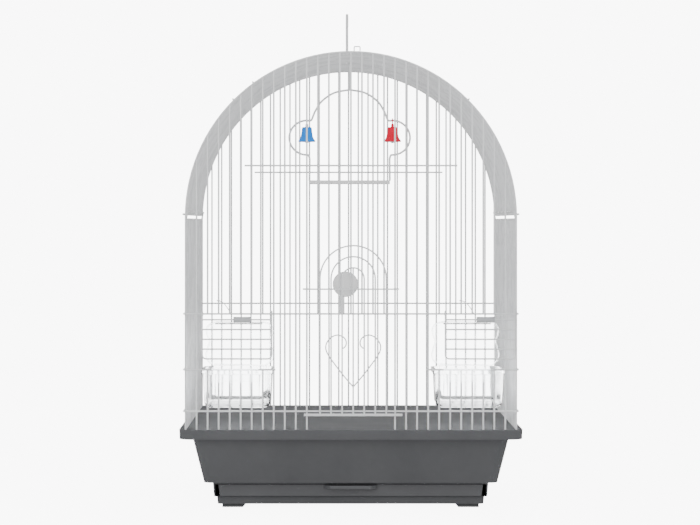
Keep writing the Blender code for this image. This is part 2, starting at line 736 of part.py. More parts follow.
def feeder_flap(label, centre_x):
    """A small wire door that hangs by two eyes on the waist rail."""
    pivot = empty(f"{label}_flap_hinge", (centre_x, -RAIL_Y, WAIST_RAIL_Z), WIRE_TOP)
    near = -DOOR_Y - DOOR_WIRE / 2
    far = -DOOR_Y + DOOR_WIRE / 2
    half = FLAP_WIDTH / 2
    top_bar = WAIST_RAIL_Z - FLAP_TOP_DROP
    bars = [top_bar - i * FLAP_PITCH for i in range(FLAP_BARS)]
    low = bars[-1] - DOOR_WIRE / 2
    out = half + DOOR_WIRE / 2
    outline = [
        (centre_x - out, low),
        (centre_x + out, low),
        (centre_x + out, WAIST_RAIL_Z),
        (centre_x - out, WAIST_RAIL_Z),
    ]
    flap = add(f"{label}_feeder_door", plate(outline, near, far), WHITE_WIRE, pivot)
    inner = half - DOOR_WIRE / 2
    tops = [WAIST_RAIL_Z + WIRE, *[bar - DOOR_WIRE / 2 for bar in bars[:-1]]]
    lows = [bar + DOOR_WIRE / 2 for bar in bars]
    windows = [
        slab((centre_x - inner, near - WIRE, z0), (centre_x + inner, far + WIRE, z1))
        for z1, z0 in zip(tops, lows)
    ]
    combine(flap, "DIFFERENCE", helper(f"cut_{label}_flap", join(*windows), pivot))
    for side in (-1, 1):
        at = (centre_x + side * half, -RAIL_Y, WAIST_RAIL_Z)
        eye = ring(at, EYE_HOLE, EYE_WALL, EYE_WIDTH, "X")
        combine(flap, "UNION", helper(f"join_{label}_eye_{side}", eye, pivot))
    sleeve_x = centre_x + SLEEVE_OFFSET
    outside = rod(
        (sleeve_x - SLEEVE_LENGTH / 2, -DOOR_Y, top_bar),
        (sleeve_x + SLEEVE_LENGTH / 2, -DOOR_Y, top_bar),
        SLEEVE_RADIUS,
        12,
    )
    sleeve = add(f"{label}_door_sleeve", outside, GREY_SLEEVE, pivot, True)
    bore = DOOR_WIRE / 2 + GAP
    hole = slab(
        (sleeve_x - SLEEVE_LENGTH, -DOOR_Y - bore, top_bar - bore),
        (sleeve_x + SLEEVE_LENGTH, -DOOR_Y + bore, top_bar + bore),
    )
    combine(sleeve, "DIFFERENCE", helper(f"cut_{label}_sleeve", hole, pivot))


def catch(label, gap_number):
    """A thin wire that turns round one upright and points down over the feeder door."""
    axis_x = gap_number * PITCH_X
    z = WAIST_RAIL_Z + CATCH_RISE
    pivot = empty(f"{label}_catch_hinge", (axis_x, -HALF_Y, z), WIRE_TOP)
    hole = WIRE * math.sqrt(0.5) + GAP
    eye = ring((axis_x, -HALF_Y, z), hole, CATCH_WIRE, CATCH_WIRE, "Z")
    made = add(f"{label}_catch_wire", eye, WHITE_WIRE, pivot)
    y = -HALF_Y - hole - CATCH_WIRE / 2
    front = -DOOR_Y
    arm_y = [(y + front) / 2, front, front, front]
    path = [(axis_x, y, z)]
    path += [
        (axis_x + CATCH_REACH * along, at_y, z - CATCH_RISE * down)
        for at_y, (along, down) in zip(arm_y, CATCH_ARM)
    ]
    thickness = CATCH_WIRE - GAP / 2
    arm = wire_curve(f"join_{label}_catch_arm", path, thickness, WHITE_WIRE, pivot, True)
    combine(made, "UNION", arm)


def feeder_cup(label, centre_x):
    """A clear open cup that hangs by a turned-down lip on the cup rail, with a hood on it."""
    front = -HALF_Y + WIRE / 2 + GAP
    centre_y = front + CUP_DEPTH / 2
    rim_z = CUP_BOTTOM_Z + CUP_HEIGHT
    pivot = empty(f"{label}_cup_slide", (centre_x, centre_y, CUP_BOTTOM_Z), WIRE_TOP)
    half = (CUP_WIDTH / 2, CUP_DEPTH / 2)
    low = [side - CUP_TAPER for side in half]
    body = stack([(CUP_BOTTOM_Z, *low, CUP_CORNER), (rim_z, *half, CUP_CORNER)])
    bmesh.ops.translate(body, verts=body.verts, vec=(centre_x, centre_y, 0))
    cup = add(f"{label}_feeder_cup", body, CLEAR_PLASTIC, pivot)
    inside = stack(
        [
            (CUP_BOTTOM_Z + CUP_WALL, *[s - CUP_WALL for s in low], CUP_CORNER - CUP_WALL),
            (rim_z + CUP_WALL, *[s - CUP_WALL for s in half], CUP_CORNER - CUP_WALL),
        ]
    )
    bmesh.ops.translate(inside, verts=inside.verts, vec=(centre_x, centre_y, 0))
    combine(cup, "DIFFERENCE", helper(f"cut_{label}_cup", inside, pivot))
    opening_x = math.copysign(OPENING_CENTRE, centre_x)
    over = CUP_RAIL_Z + RAIL / 2 + 2 * GAP
    outer = -RAIL_Y - RAIL / 2 - GAP
    section = [
        (front + CUP_WALL / 2, rim_z - 2 * CUP_WALL),
        (front + CUP_WALL / 2, over + CUP_WALL),
        (outer - CUP_WALL, over + CUP_WALL),
        (outer - CUP_WALL, over - CUP_LIP_DROP),
        (outer, over - CUP_LIP_DROP),
        (outer, over),
        (front - GAP / 2, over),
        (front - GAP / 2, rim_z - 2 * CUP_WALL),
    ]
    half_lip = CUP_LIP_WIDTH / 2
    lip = turned_side(plate(section, -opening_x - half_lip, -opening_x + half_lip))
    combine(cup, "UNION", helper(f"join_{label}_cup_lip", lip, pivot))
    hood(label, centre_x, centre_y + half[1], rim_z + GAP, pivot)


def hood(label, centre_x, back, low, pivot):
    """A clear guard that stands on the cup's back edge and leans over it."""
    foot_half = HOOD_WIDTH / 2 - CUP_CORNER
    waist = HOOD_WAIST / 2
    top_half = HOOD_WIDTH / 2 - CUP_CORNER / 2
    foot_z, waist_z, shoulder_z = [low + HOOD_HEIGHT * level for level in HOOD_LEVELS]
    top = low + HOOD_HEIGHT
    right = [(foot_half, low), (foot_half, foot_z), (waist, waist_z)]
    right += [(top_half, shoulder_z), (top_half, top)]
    outline = [(centre_x + x, z) for x, z in right]
    outline += [(centre_x - x, z) for x, z in right[::-1]]
    wall = add(f"{label}_feeder_hood", plate(outline, back - CUP_WALL, back), CLEAR_PLASTIC, pivot)
    cover = slab(
        (centre_x - top_half + GAP, back - HOOD_REACH, top - CUP_WALL - GAP),
        (centre_x + top_half - GAP, back - CUP_WALL / 2, top - GAP),
    )
    combine(wall, "UNION", helper(f"join_{label}_hood_top", cover, pivot))


def perch():
    """A round perch from front to back, with a domed cap and its tab inside the front wires."""
    front = -HALF_Y + WIRE / 2 + GAP
    back = HALF_Y - WIRE / 2 - GAP
    cap_back = front + CAP_THICKNESS
    bar = rod((PERCH_X, cap_back + GAP, PERCH_Z), (PERCH_X, back, PERCH_Z), PERCH_RADIUS, 16)
    add("perch", bar, GREY_SLEEVE, WIRE_TOP, True)
    profile = [
        (0, 0),
        (CAP_RADIUS - CAP_THICKNESS, 0),
        (CAP_RADIUS - CAP_THICKNESS / 4, -CAP_THICKNESS / 3),
        (CAP_RADIUS, -CAP_THICKNESS * 2 / 3),
        (CAP_RADIUS, -CAP_THICKNESS),
        (0, -CAP_THICKNESS),
    ]
    cap = turned(profile, 20)
    bmesh.ops.rotate(cap, verts=cap.verts, matrix=Matrix.Rotation(math.pi / 2, 3, "X"))
    bmesh.ops.translate(cap, verts=cap.verts, vec=(PERCH_X, front, PERCH_Z))
    made = add("perch_cap", cap, WHITE_CAP, WIRE_TOP, True)
    tab_x = PERCH_X + CAP_TAB_OFFSET
    tab = slab(
        (tab_x - CAP_TAB_WIDTH / 2, front + CAP_THICKNESS / 2, WAIST_RAIL_Z),
        (tab_x + CAP_TAB_WIDTH / 2, cap_back - GAP, PERCH_Z - CAP_RADIUS / 2),
    )
    combine(made, "UNION", helper("join_cap_tab", tab, WIRE_TOP))


def swing():
    """A bent wire swing with a side lobe for each bell, hung on the middle roof wire."""
    pivot = empty("swing_hinge", (0, 0, ARCH_TOP_Z), WIRE_TOP)
    rise = SWING_TOP_Z - SWING_SHOULDER_Z
    radius = (SWING_SHOULDER_X**2 + rise**2) / (2 * rise)
    centre_z = SWING_TOP_Z - radius
    lean = math.degrees(math.asin(SWING_SHOULDER_X / radius))
    dome = arc((0, centre_z), radius, 90, 90 - lean, 6)
    lobe_height = (SWING_SHOULDER_Z - LOBE_BOTTOM_Z) / 2
    lobe_z = (SWING_SHOULDER_Z + LOBE_BOTTOM_Z) / 2
    lobe_reach = LOBE_OUT_X - BELL_X
    flat = lobe_height - lobe_reach
    lobe = arc((BELL_X, lobe_z + flat), lobe_reach, 90, 0, 5)
    lobe += arc((BELL_X, lobe_z - flat), lobe_reach, 0, -90, 5)
    leg = [(SWING_LEG_X, LOBE_BOTTOM_Z - SWING_LEG_DROP), (SWING_LEG_X, SWING_PERCH_Z)]
    half = dome + lobe + leg
    left = [(-x, z) for x, z in half[:0:-1]]
    path = [(x, 0, z) for x, z in left + half]
    frame = wire_curve("swing_frame", path, SWING_WIRE, WHITE_WIRE, pivot)
    hole = WIRE * math.sqrt(0.5) + GAP
    eye = ring((0, 0, ARCH_TOP_Z), hole, SWING_WIRE, SWING_WIRE, "X")
    stem_top = ARCH_TOP_Z - hole - SWING_WIRE / 2
    stem = rod((0, 0, SWING_TOP_Z), (0, 0, stem_top), SWING_WIRE / 2 - GAP / 2, 6)
    combine(
        frame,
        "UNION",
        helper("join_swing_stem", stem, pivot),
        helper("join_swing_eye", eye, pivot),
    )
    low_z = SWING_PERCH_Z - GAP - SWING_PERCH_RADIUS
    bar = rod((-SWING_LEG_X, 0, low_z), (SWING_LEG_X, 0, low_z), SWING_PERCH_RADIUS, 12)
    add("swing_perch", bar, WHITE_CAP, pivot, True)
    bell("blue", -BELL_X, BLUE_BELL, pivot)
    bell("red", BELL_X, RED_BELL, pivot)


def bell(label, x, finish, swing_pivot):
    """A small bell that hangs by its own loop on the top of a lobe, with a clapper."""
    wire_z = SWING_SHOULDER_Z
    pivot = empty(f"{label}_bell_hinge", (x, 0, wire_z), swing_pivot)
    loop_z = wire_z - (LOOP_RADIUS - LOOP_WIRE / 2 - SWING_WIRE / 2 - GAP)
    neck_top = loop_z - LOOP_RADIUS + LOOP_WIRE / 4
    shoulder = neck_top - BELL_NECK_HEIGHT
    mouth = shoulder - BELL_HEIGHT
    waist_z = shoulder - BELL_HEIGHT * BELL_WAIST
    inner_top = shoulder - BELL_WALL - BELL_CROWN
    profile = [
        (0, neck_top),
        (BELL_NECK, neck_top),
        (BELL_NECK, shoulder),
        (BELL_TOP_RADIUS, shoulder - BELL_CROWN),
        (BELL_TOP_RADIUS + BELL_FLARE, waist_z),
        (BELL_RADIUS, mouth),
        (BELL_RADIUS - BELL_WALL, mouth),
        (BELL_TOP_RADIUS + BELL_FLARE - BELL_WALL, waist_z),
        (BELL_TOP_RADIUS - BELL_WALL, inner_top),
        (0, inner_top),
    ]
    made = add(f"{label}_bell", turned(profile, 14, (x, 0, 0)), finish, pivot, True)
    loop = ring((x, 0, loop_z), LOOP_RADIUS - LOOP_WIRE / 2, LOOP_WIRE, LOOP_WIRE, "X")
    combine(made, "UNION", helper(f"join_{label}_loop", loop, pivot))
    hang_z = inner_top - GAP
    swinging = empty(f"{label}_clapper_hinge", (x, 0, hang_z), pivot)
    ball_z = mouth + CLAPPER_BALL / 2
    stem = CLAPPER_ROD / 2
    meet = math.sqrt(CLAPPER_BALL**2 - stem**2)
    ball = [
        (CLAPPER_BALL * math.sin(a), ball_z + CLAPPER_BALL * math.cos(a))
        for a in [math.radians(30 * i) for i in range(1, 6)]
    ]
    shape = [(0, hang_z), (stem, hang_z), (stem, ball_z + meet), *ball, (0, ball_z - CLAPPER_BALL)]
    add(f"{label}_clapper", turned(shape, 10, (x, 0, 0)), STEEL, swinging, True)


def hanging_hook():
    """A bent wire hook that folds down on the middle roof wire."""
    pivot = empty("hook_hinge", (HOOK_X, 0, ARCH_TOP_Z), WIRE_TOP)
    hole = WIRE * math.sqrt(0.5) + 3 * GAP
    eye = ring((HOOK_X, 0, ARCH_TOP_Z), hole, HOOK_EYE_WALL, HOOK_EYE_WALL, "X")
    made = add("hanging_hook", eye, WHITE_WIRE, pivot)
    bend_z = HOOK_TOP_Z - HOOK_WIRE / 2 - HOOK_RADIUS
    start_z = ARCH_TOP_Z + hole + HOOK_EYE_WALL / 2
    knee_z, side_z = [start_z + (bend_z - start_z) * level for level in HOOK_LEVELS]
    turn = arc((0, bend_z), HOOK_RADIUS, 0, 180, 8)
    path = [
        (HOOK_X, 0, start_z),
        (HOOK_X, 0, knee_z),
        (HOOK_X, HOOK_RADIUS, side_z),
        *[(HOOK_X, y, z) for y, z in turn],
        (HOOK_X, -HOOK_RADIUS, bend_z - HOOK_TIP_DROP),
    ]
    bent = wire_curve("join_hook_bend", path, HOOK_WIRE, WHITE_WIRE, pivot, True)
    combine(made, "UNION", bent)


for old in list(bpy.data.objects):
    bpy.data.objects.remove(old, do_unlink=True)

WHITE_WIRE = material("white_wire", (0.78, 0.79, 0.80), 0.35)
GREY_MOULDING = material("grey_moulding", (0.12, 0.122, 0.13), 0.55)
GREY_DRAWER = material("grey_drawer", (0.11, 0.112, 0.12), 0.55)
GREY_SLEEVE = material("grey_sleeve", (0.45, 0.46, 0.48), 0.5)
WHITE_CAP = material("white_cap", (0.8, 0.8, 0.8), 0.3)
CLEAR_PLASTIC = material("clear_plastic", (0.95, 0.96, 0.97), 0.05, 0.9)
BLUE_BELL = material("blue_bell", (0.02, 0.22, 0.7), 0.25)
RED_BELL = material("red_bell", (0.72, 0.02, 0.04), 0.25)
STEEL = material("steel", (0.5, 0.5, 0.5), 0.3)

WIRE_TOP = empty("wire_top_lift", (0, 0, LEDGE_Z))

base_tub()
litter_drawer()
arched_panel("front_panel", -HALF_Y, front_openings())
arched_panel("back_panel", HALF_Y, [])
side_panel("left_side_panel", -1)
side_panel("right_side_panel", 1)
roof_panel()
rails()
roof_wires()
roof_clip()
main_door()
for place, side, flap_offset, cup_offset, upright in zip(
    ("left", "right"), (-1, 1), FLAP_OFFSETS, CUP_OFFSETS, CATCH_GAPS
):
    feeder_flap(place, side * OPENING_CENTRE + flap_offset)
    catch(place, upright)
    feeder_cup(place, side * OPENING_CENTRE + cup_offset)
perch()
swing()
hanging_hook()
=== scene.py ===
import json
import math

import bmesh
import bpy
from mathutils import Matrix, Vector


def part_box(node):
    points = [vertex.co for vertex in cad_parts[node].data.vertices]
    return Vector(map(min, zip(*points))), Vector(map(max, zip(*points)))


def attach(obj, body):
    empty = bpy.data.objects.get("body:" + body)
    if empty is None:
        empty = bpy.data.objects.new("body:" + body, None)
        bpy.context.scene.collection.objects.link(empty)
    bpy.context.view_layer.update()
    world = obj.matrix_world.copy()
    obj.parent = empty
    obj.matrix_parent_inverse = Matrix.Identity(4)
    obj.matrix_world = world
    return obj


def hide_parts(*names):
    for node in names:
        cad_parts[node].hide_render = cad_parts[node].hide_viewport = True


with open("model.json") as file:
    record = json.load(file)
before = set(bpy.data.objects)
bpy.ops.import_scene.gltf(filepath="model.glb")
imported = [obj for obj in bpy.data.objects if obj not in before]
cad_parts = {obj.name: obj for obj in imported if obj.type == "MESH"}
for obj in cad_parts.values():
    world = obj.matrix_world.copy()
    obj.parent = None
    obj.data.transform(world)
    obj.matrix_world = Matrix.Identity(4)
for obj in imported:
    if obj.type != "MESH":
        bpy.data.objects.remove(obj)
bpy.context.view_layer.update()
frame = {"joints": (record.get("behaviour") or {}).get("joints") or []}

# Sizes in metres. Places come from the frame's boxes.
WIRE = 0.0018
THIN = 0.0016
SIDES = 8
FRONT_GAPS = 30
DEEP_GAPS = 24
DOORWAY_GAPS = 4
OPENING_GAPS = (7, 14)
ROOF_FLARE = 0.0032
MOULD_WALL = 0.0024
RIM_HIGH = 0.0095
RIM_OVERHANG = 0.0132
TUB_TAPER = 0.0107
HOUSE_INSET = 0.0085
PLINTH_INSET = 0.004
TUB_LOW = 0.027
HOUSE_LOW = 0.012
PLINTH_LOW = 0.004
FOOT_EDGE = 0.0054
FOOT_DEEP = 0.0194
FOOT_LENGTH = 0.021
FOOT_FLARE = 0.0035
DOOR_ROD_RISE = 0.0248
FLAP_TOP_DROP = 0.0057
FLAP_PITCH = 0.0098
FLAP_BARS = 5
CLEAR_WALL = 0.0012
BELL_HIGH = 0.0158
HOOK_RADIUS = 0.0015
HOOK_BEND = 0.011
SKY_LIGHT = 1.05
SKY_WHITE = 9.0
FLOOR_WHITE = 8.0


# ---------------------------------------------------------------- finishes


def noise(nodes, links, scale, detail=3.0, stretch=(1, 1, 1)):
    """A noise pattern on the piece's own coordinates."""
    place = nodes.new("ShaderNodeTexCoord")
    mapping = nodes.new("ShaderNodeMapping")
    mapping.inputs["Scale"].default_value = stretch
    pattern = nodes.new("ShaderNodeTexNoise")
    pattern.inputs["Scale"].default_value = scale
    pattern.inputs["Detail"].default_value = detail
    links.new(place.outputs["Object"], mapping.inputs["Vector"])
    links.new(mapping.outputs["Vector"], pattern.inputs["Vector"])
    return pattern


def spread(nodes, links, source, low, high):
    """Maps a pattern from 0.3..0.7 to low..high."""
    mapped = nodes.new("ShaderNodeMapRange")
    mapped.inputs["From Min"].default_value = 0.3
    mapped.inputs["From Max"].default_value = 0.7
    mapped.inputs["To Min"].default_value = low
    mapped.inputs["To Max"].default_value = high
    links.new(source, mapped.inputs["Value"])
    return mapped.outputs["Result"]


def finish_for(name, dark, light, rough, patch=40, grain=900, grain_depth=0.00002, sockets=None):
    """A paint or plastic whose colour, gloss and surface vary slightly over the piece."""
    made = bpy.data.materials.new(name)
    made.use_nodes = True
    nodes = made.node_tree.nodes
    links = made.node_tree.links
    shader = nodes["Principled BSDF"]
    clouds = noise(nodes, links, patch)
    tint = nodes.new("ShaderNodeMix")
    tint.data_type = "RGBA"
    tint.inputs["A"].default_value = (*dark, 1)
    tint.inputs["B"].default_value = (*light, 1)
    links.new(spread(nodes, links, clouds.outputs["Fac"], 0, 1), tint.inputs["Factor"])
    links.new(tint.outputs["Result"], shader.inputs["Base Color"])
    links.new(spread(nodes, links, clouds.outputs["Fac"], *rough), shader.inputs["Roughness"])
    fine = noise(nodes, links, grain, 2.0)
    bump = nodes.new("ShaderNodeBump")
    bump.inputs["Strength"].default_value = 0.5
    bump.inputs["Distance"].default_value = grain_depth
    links.new(fine.outputs["Fac"], bump.inputs["Height"])
    links.new(bump.outputs["Normal"], shader.inputs["Normal"])
    for socket, value in (sockets or {}).items():
        shader.inputs[socket].default_value = value
    return made


WHITE_PAINT = finish_for(
    "white_gloss_paint",
    (0.70, 0.71, 0.72),
    (0.78, 0.79, 0.80),
    (0.22, 0.34),
    sockets={"Coat Weight": 0.3, "Coat Roughness": 0.15},
)
BASE_GREY = finish_for(
    "dark_grey_moulding",
    (0.073, 0.075, 0.080),
    (0.085, 0.087, 0.092),
    (0.62, 0.72),
    25,
    1500,
    0.00005,
    {"Specular IOR Level": 0.3},
)
DRAWER_GREY = finish_for(
    "drawer_grey_moulding", (0.060, 0.062, 0.067), (0.072, 0.074, 0.079), (0.40, 0.50), 25, 1500, 0.00005
)
SLEEVE_GREY = finish_for("pale_grey_sleeve", (0.42, 0.43, 0.45), (0.50, 0.51, 0.52), (0.35, 0.5))
PERCH_GREY = finish_for("perch_plastic", (0.45, 0.46, 0.48), (0.53, 0.54, 0.55), (0.4, 0.5))
CAP_WHITE = finish_for("white_plastic", (0.84, 0.84, 0.84), (0.90, 0.90, 0.90), (0.20, 0.30))
BELL_BLUE = finish_for(
    "blue_enamel",
    (0.0, 0.22, 0.80),
    (0.0, 0.26, 0.90),
    (0.25, 0.35),
    sockets={"Specular IOR Level": 0.15},
)
BELL_RED = finish_for(
    "red_enamel",
    (0.72, 0.0, 0.03),
    (0.84, 0.0, 0.045),
    (0.25, 0.35),
    sockets={"Specular IOR Level": 0.15},
)
CLAPPER_STEEL = finish_for(
    "clapper_steel", (0.5, 0.5, 0.5), (0.6, 0.6, 0.6), (0.25, 0.35), sockets={"Metallic": 1.0}
)
CLEAR = finish_for(
    "clear_plastic",
    (0.95, 0.965, 0.975),
    (0.985, 0.99, 0.995),
    (0.03, 0.07),
    30,
    300,
    0.000002,
    {"Transmission Weight": 1.0, "IOR": 1.42},
)


# ---------------------------------------------------------------- mesh tools


def grown_verts(result):
    return [item for item in result["geom"] if isinstance(item, bmesh.types.BMVert)]


def bent_wire(mesh, points, radius, sides=SIDES, closed=False):
    """Carries a circle of wire along the points, and caps its ends."""
    path = [Vector(point) for point in points]
    count = len(path)
    tangents = []
    for i in range(count):
        before = path[i - 1] if closed or i else path[i]
        after = path[(i + 1) % count] if closed or i < count - 1 else path[i]
        tangents.append((after - before).normalized())
    first = bmesh.ops.create_circle(mesh, segments=sides, radius=radius)["verts"]
    turn = tangents[0].to_track_quat("Z", "Y").to_matrix()
    bmesh.ops.rotate(mesh, verts=first, matrix=turn)
    bmesh.ops.translate(mesh, verts=first, vec=path[0])
    start_edges = list({edge for vert in first for edge in vert.link_edges})
    ring = start_edges
    last = first
    for i in range(1, count):
        grown = bmesh.ops.extrude_edge_only(mesh, edges=ring)
        last = grown_verts(grown)
        step = tangents[i - 1].rotation_difference(tangents[i]).to_matrix()
        bmesh.ops.rotate(mesh, verts=last, cent=path[i - 1], matrix=step)
        bmesh.ops.translate(mesh, verts=last, vec=path[i] - path[i - 1])
        ring = [item for item in grown["geom"] if isinstance(item, bmesh.types.BMEdge)]
    if closed:
        bmesh.ops.bridge_loops(mesh, edges=ring + start_edges)
    else:
        bmesh.ops.contextual_create(mesh, geom=first)
        bmesh.ops.contextual_create(mesh, geom=last)


def arc(centre, radius, start, end, steps):
    turn = [math.radians(start + (end - start) * i / steps) for i in range(steps + 1)]
    return [
        (centre[0] + radius * math.cos(a), centre[1] + radius * math.sin(a)) for a in turn
    ]


def softened(points, radius, steps=4):
    """The same route with each inner corner rounded off."""
    route = [Vector(point) for point in points]
    smooth = [route[0]]
    for before, corner, after in zip(route, route[1:], route[2:]):
        reach = min(radius, (before - corner).length / 2.1, (after - corner).length / 2.1)
        start = corner + (before - corner).normalized() * reach
        end = corner + (after - corner).normalized() * reach
        for i in range(steps + 1):
            t = i / steps
            smooth.append(start * (1 - t) ** 2 + corner * 2 * t * (1 - t) + end * t**2)
    smooth.append(route[-1])
    return smooth


def smooth_route(points, steps=6):
    """A smooth curve through every point."""
    route = [Vector(point) for point in points]
    ends = [route[0] * 2 - route[1], *route, route[-1] * 2 - route[-2]]
    smooth = []
    for a, b, c, d in zip(ends, ends[1:], ends[2:], ends[3:]):
        for i in range(steps):
            t = i / steps
            smooth.append(
                0.5
                * (
                    2 * b
                    + (c - a) * t
                    + (2 * a - 5 * b + 4 * c - d) * t**2
                    + (3 * b - a - 3 * c + d) * t**3
                )
            )
    smooth.append(route[-1])
    return smooth


def turned(profile, steps, flip=None, centre=(0, 0, 0)):
    """Spins (radius, height) points round an upright axis, then leans it by flip."""
    mesh = bmesh.new()
    points = [mesh.verts.new((r, 0, z)) for r, z in profile]
    edges = [mesh.edges.new(pair) for pair in zip(points, points[1:])]
    bmesh.ops.spin(
        mesh,
        geom=points + edges,
        cent=(0, 0, 0),
        axis=(0, 0, 1),
        angle=2 * math.pi,
        steps=steps,
        use_merge=True,
    )
    bmesh.ops.remove_doubles(mesh, verts=mesh.verts, dist=1e-6)
    if flip:
        bmesh.ops.rotate(mesh, verts=mesh.verts, matrix=flip)
    bmesh.ops.translate(mesh, verts=mesh.verts, vec=centre)
    return mesh


def slab(low, high):
    mesh = bmesh.new()
    bmesh.ops.create_cube(mesh, size=1)
    bmesh.ops.scale(mesh, verts=mesh.verts, vec=Vector(high) - Vector(low))
    bmesh.ops.translate(mesh, verts=mesh.verts, vec=(Vector(high) + Vector(low)) / 2)
    return mesh


def moulding(sections, steps=8):
    """A closed body through round-cornered rectangles: (z, half_x, half_y, corner)."""
    mesh = bmesh.new()
    rings = []
    for z, half_x, half_y, corner in sections:
        in_x = half_x - corner
        in_y = half_y - corner
        outline = arc((in_x, in_y), corner, 0, 90, steps)
        outline += arc((-in_x, in_y), corner, 90, 180, steps)
        outline += arc((-in_x, -in_y), corner, 180, 270, steps)
        outline += arc((in_x, -in_y), corner, 270, 360, steps)
        rings.append([mesh.verts.new((x, y, z)) for x, y in outline])
    for ring in rings:
        for a, b in zip(ring, ring[1:] + ring[:1]):
            mesh.edges.new((a, b))
    for lower, upper in zip(rings, rings[1:]):
        edges = [edge for vert in lower + upper for edge in vert.link_edges]
        level = [edge for edge in set(edges) if edge.verts[0].co.z == edge.verts[1].co.z]
        bmesh.ops.bridge_loops(mesh, edges=[e for e in level if len(e.link_faces) < 2])
    mesh.faces.new(rings[0])
    mesh.faces.new(rings[-1])
    return mesh


def prism(outline, low, high):
    """An outline in X and Z given thickness along Y."""
    mesh = bmesh.new()
    face = mesh.faces.new([mesh.verts.new((x, low, z)) for x, z in outline])
    grown = bmesh.ops.extrude_face_region(mesh, geom=[face])
    bmesh.ops.translate(mesh, verts=grown_verts(grown), vec=(0, high - low, 0))
    return mesh


def to_object(name, mesh, angle=60):
    bmesh.ops.recalc_face_normals(mesh, faces=mesh.faces)
    if mesh.calc_volume(signed=True) < 0:
        bmesh.ops.reverse_faces(mesh, faces=mesh.faces)
    data = bpy.data.meshes.new(name)
    mesh.to_mesh(data)
    mesh.free()
    data.shade_smooth()
    data.set_sharp_from_angle(angle=math.radians(angle))
    made = bpy.data.objects.new(name, data)
    bpy.context.collection.objects.link(made)
    return made


def piece(name, mesh, finish, slot, body, *nodes):
    """A finished piece of the cage: its paint, the body it rides on and what it stands for."""
    made = to_object(name, mesh) if isinstance(mesh, bmesh.types.BMesh) else mesh
    made.name = name
    made.data.materials.clear()
    made.data.materials.append(finish)
    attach(made, body)
    if nodes:
        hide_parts(*nodes)
    return made


def carved(body, cutters, joined=(), soften=0.0, segments=3):
    """Cuts and joins moulded shapes, softens the edges and keeps only the result."""
    made = to_object("carved", body)
    helpers = []
    for operation, shapes in (("DIFFERENCE", cutters), ("UNION", joined)):
        for shape in shapes:
            helper = to_object("helper", shape)
            helpers.append(helper)
            step = made.modifiers.new("shape", "BOOLEAN")
            step.operation = operation
            step.object = helper
    if soften:
        round_off = made.modifiers.new("soft edges", "BEVEL")
        round_off.width = soften
        round_off.segments = segments
        round_off.limit_method = "ANGLE"
        round_off.angle_limit = math.radians(40)
    bpy.context.view_layer.update()
    graph = bpy.context.evaluated_depsgraph_get()
    data = bpy.data.meshes.new_from_object(made.evaluated_get(graph))
    for used in (made, *helpers):
        bpy.data.objects.remove(used)
    data.shade_smooth()
    data.set_sharp_from_angle(angle=math.radians(20))
    result = bpy.data.objects.new("carved", data)
    bpy.context.collection.objects.link(result)
    return result


# ---------------------------------------------------------------- places


def hinge_of(name):
    """Where a hinge's axis is."""
    return next(joint["pos_m"] for joint in frame["joints"] if joint["name"] == name)


def middle(node):
    low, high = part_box(node)
    return (low + high) / 2


FRONT_LOW, FRONT_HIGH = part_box("front_panel")
HALF_X = FRONT_HIGH.x - WIRE / 2
FRONT_Y = middle("front_panel").y
BACK_Y = middle("back_panel").y
HALF_Y = BACK_Y
TOP_Z = FRONT_HIGH.z - WIRE / 2
SPRING_Z = TOP_Z - HALF_X
WIRE_FOOT = FRONT_LOW.z
PITCH_X = 2 * HALF_X / FRONT_GAPS
PITCH_Y = 2 * HALF_Y / DEEP_GAPS
RAIL_Y = HALF_Y + WIRE
WAIST_Z = middle("front_waist_rail").z
CUP_RAIL_Z = middle("left_cup_rail").z
LOW_Z = middle("front_low_rail").z
UPPER_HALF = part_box("front_upper_rail")[1].x
SIDE_TOP_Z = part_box("left_side_panel")[1].z - WIRE / 2
ROOF_END_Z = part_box("roof_panel")[0].z + WIRE / 2


# ---------------------------------------------------------------- wire work


def arched_wire(mesh, y, half, foot, radius, steps=56):
    """A wire that runs up, over a half circle and down again."""
    route = [(half, y, foot)]
    route += [(x, y, z) for x, z in arc((0, SPRING_Z), half, 0, 180, steps)]
    route += [(-half, y, foot)]
    bent_wire(mesh, route, radius)


def arch_height(x):
    return SPRING_Z + math.sqrt(max(HALF_X**2 - x**2, 0))


def upright(mesh, x, y, low, high):
    bent_wire(mesh, [(x, y, low), (x, y, high)], WIRE / 2)


def front_wires():
    mesh = bmesh.new()
    arched_wire(mesh, FRONT_Y, HALF_X, WIRE_FOOT, WIRE / 2)
    for i in range(1, FRONT_GAPS):
        gap = i - FRONT_GAPS // 2
        x = gap * PITCH_X
        top = arch_height(x)
        if abs(gap) < DOORWAY_GAPS:
            upright(mesh, x, FRONT_Y, WAIST_Z - WIRE / 2, top)
        elif OPENING_GAPS[0] < abs(gap) < OPENING_GAPS[1]:
            upright(mesh, x, FRONT_Y, WAIST_Z - WIRE / 2, top)
            upright(mesh, x, FRONT_Y, WIRE_FOOT, CUP_RAIL_Z + WIRE / 2)
        else:
            upright(mesh, x, FRONT_Y, WIRE_FOOT, top)
    foot_bar(mesh, [(-HALF_X, FRONT_Y, WIRE_FOOT), (HALF_X, FRONT_Y, WIRE_FOOT)])
    piece("front_grille", mesh, WHITE_PAINT, "white_wire", "wire_top", "front_panel")


def foot_bar(mesh, ends):
    """The level wire at the foot of a panel, hidden in the rim."""
    lift = Vector((0, 0, WIRE / 2))
    bent_wire(mesh, [Vector(end) + lift for end in ends], WIRE / 2)


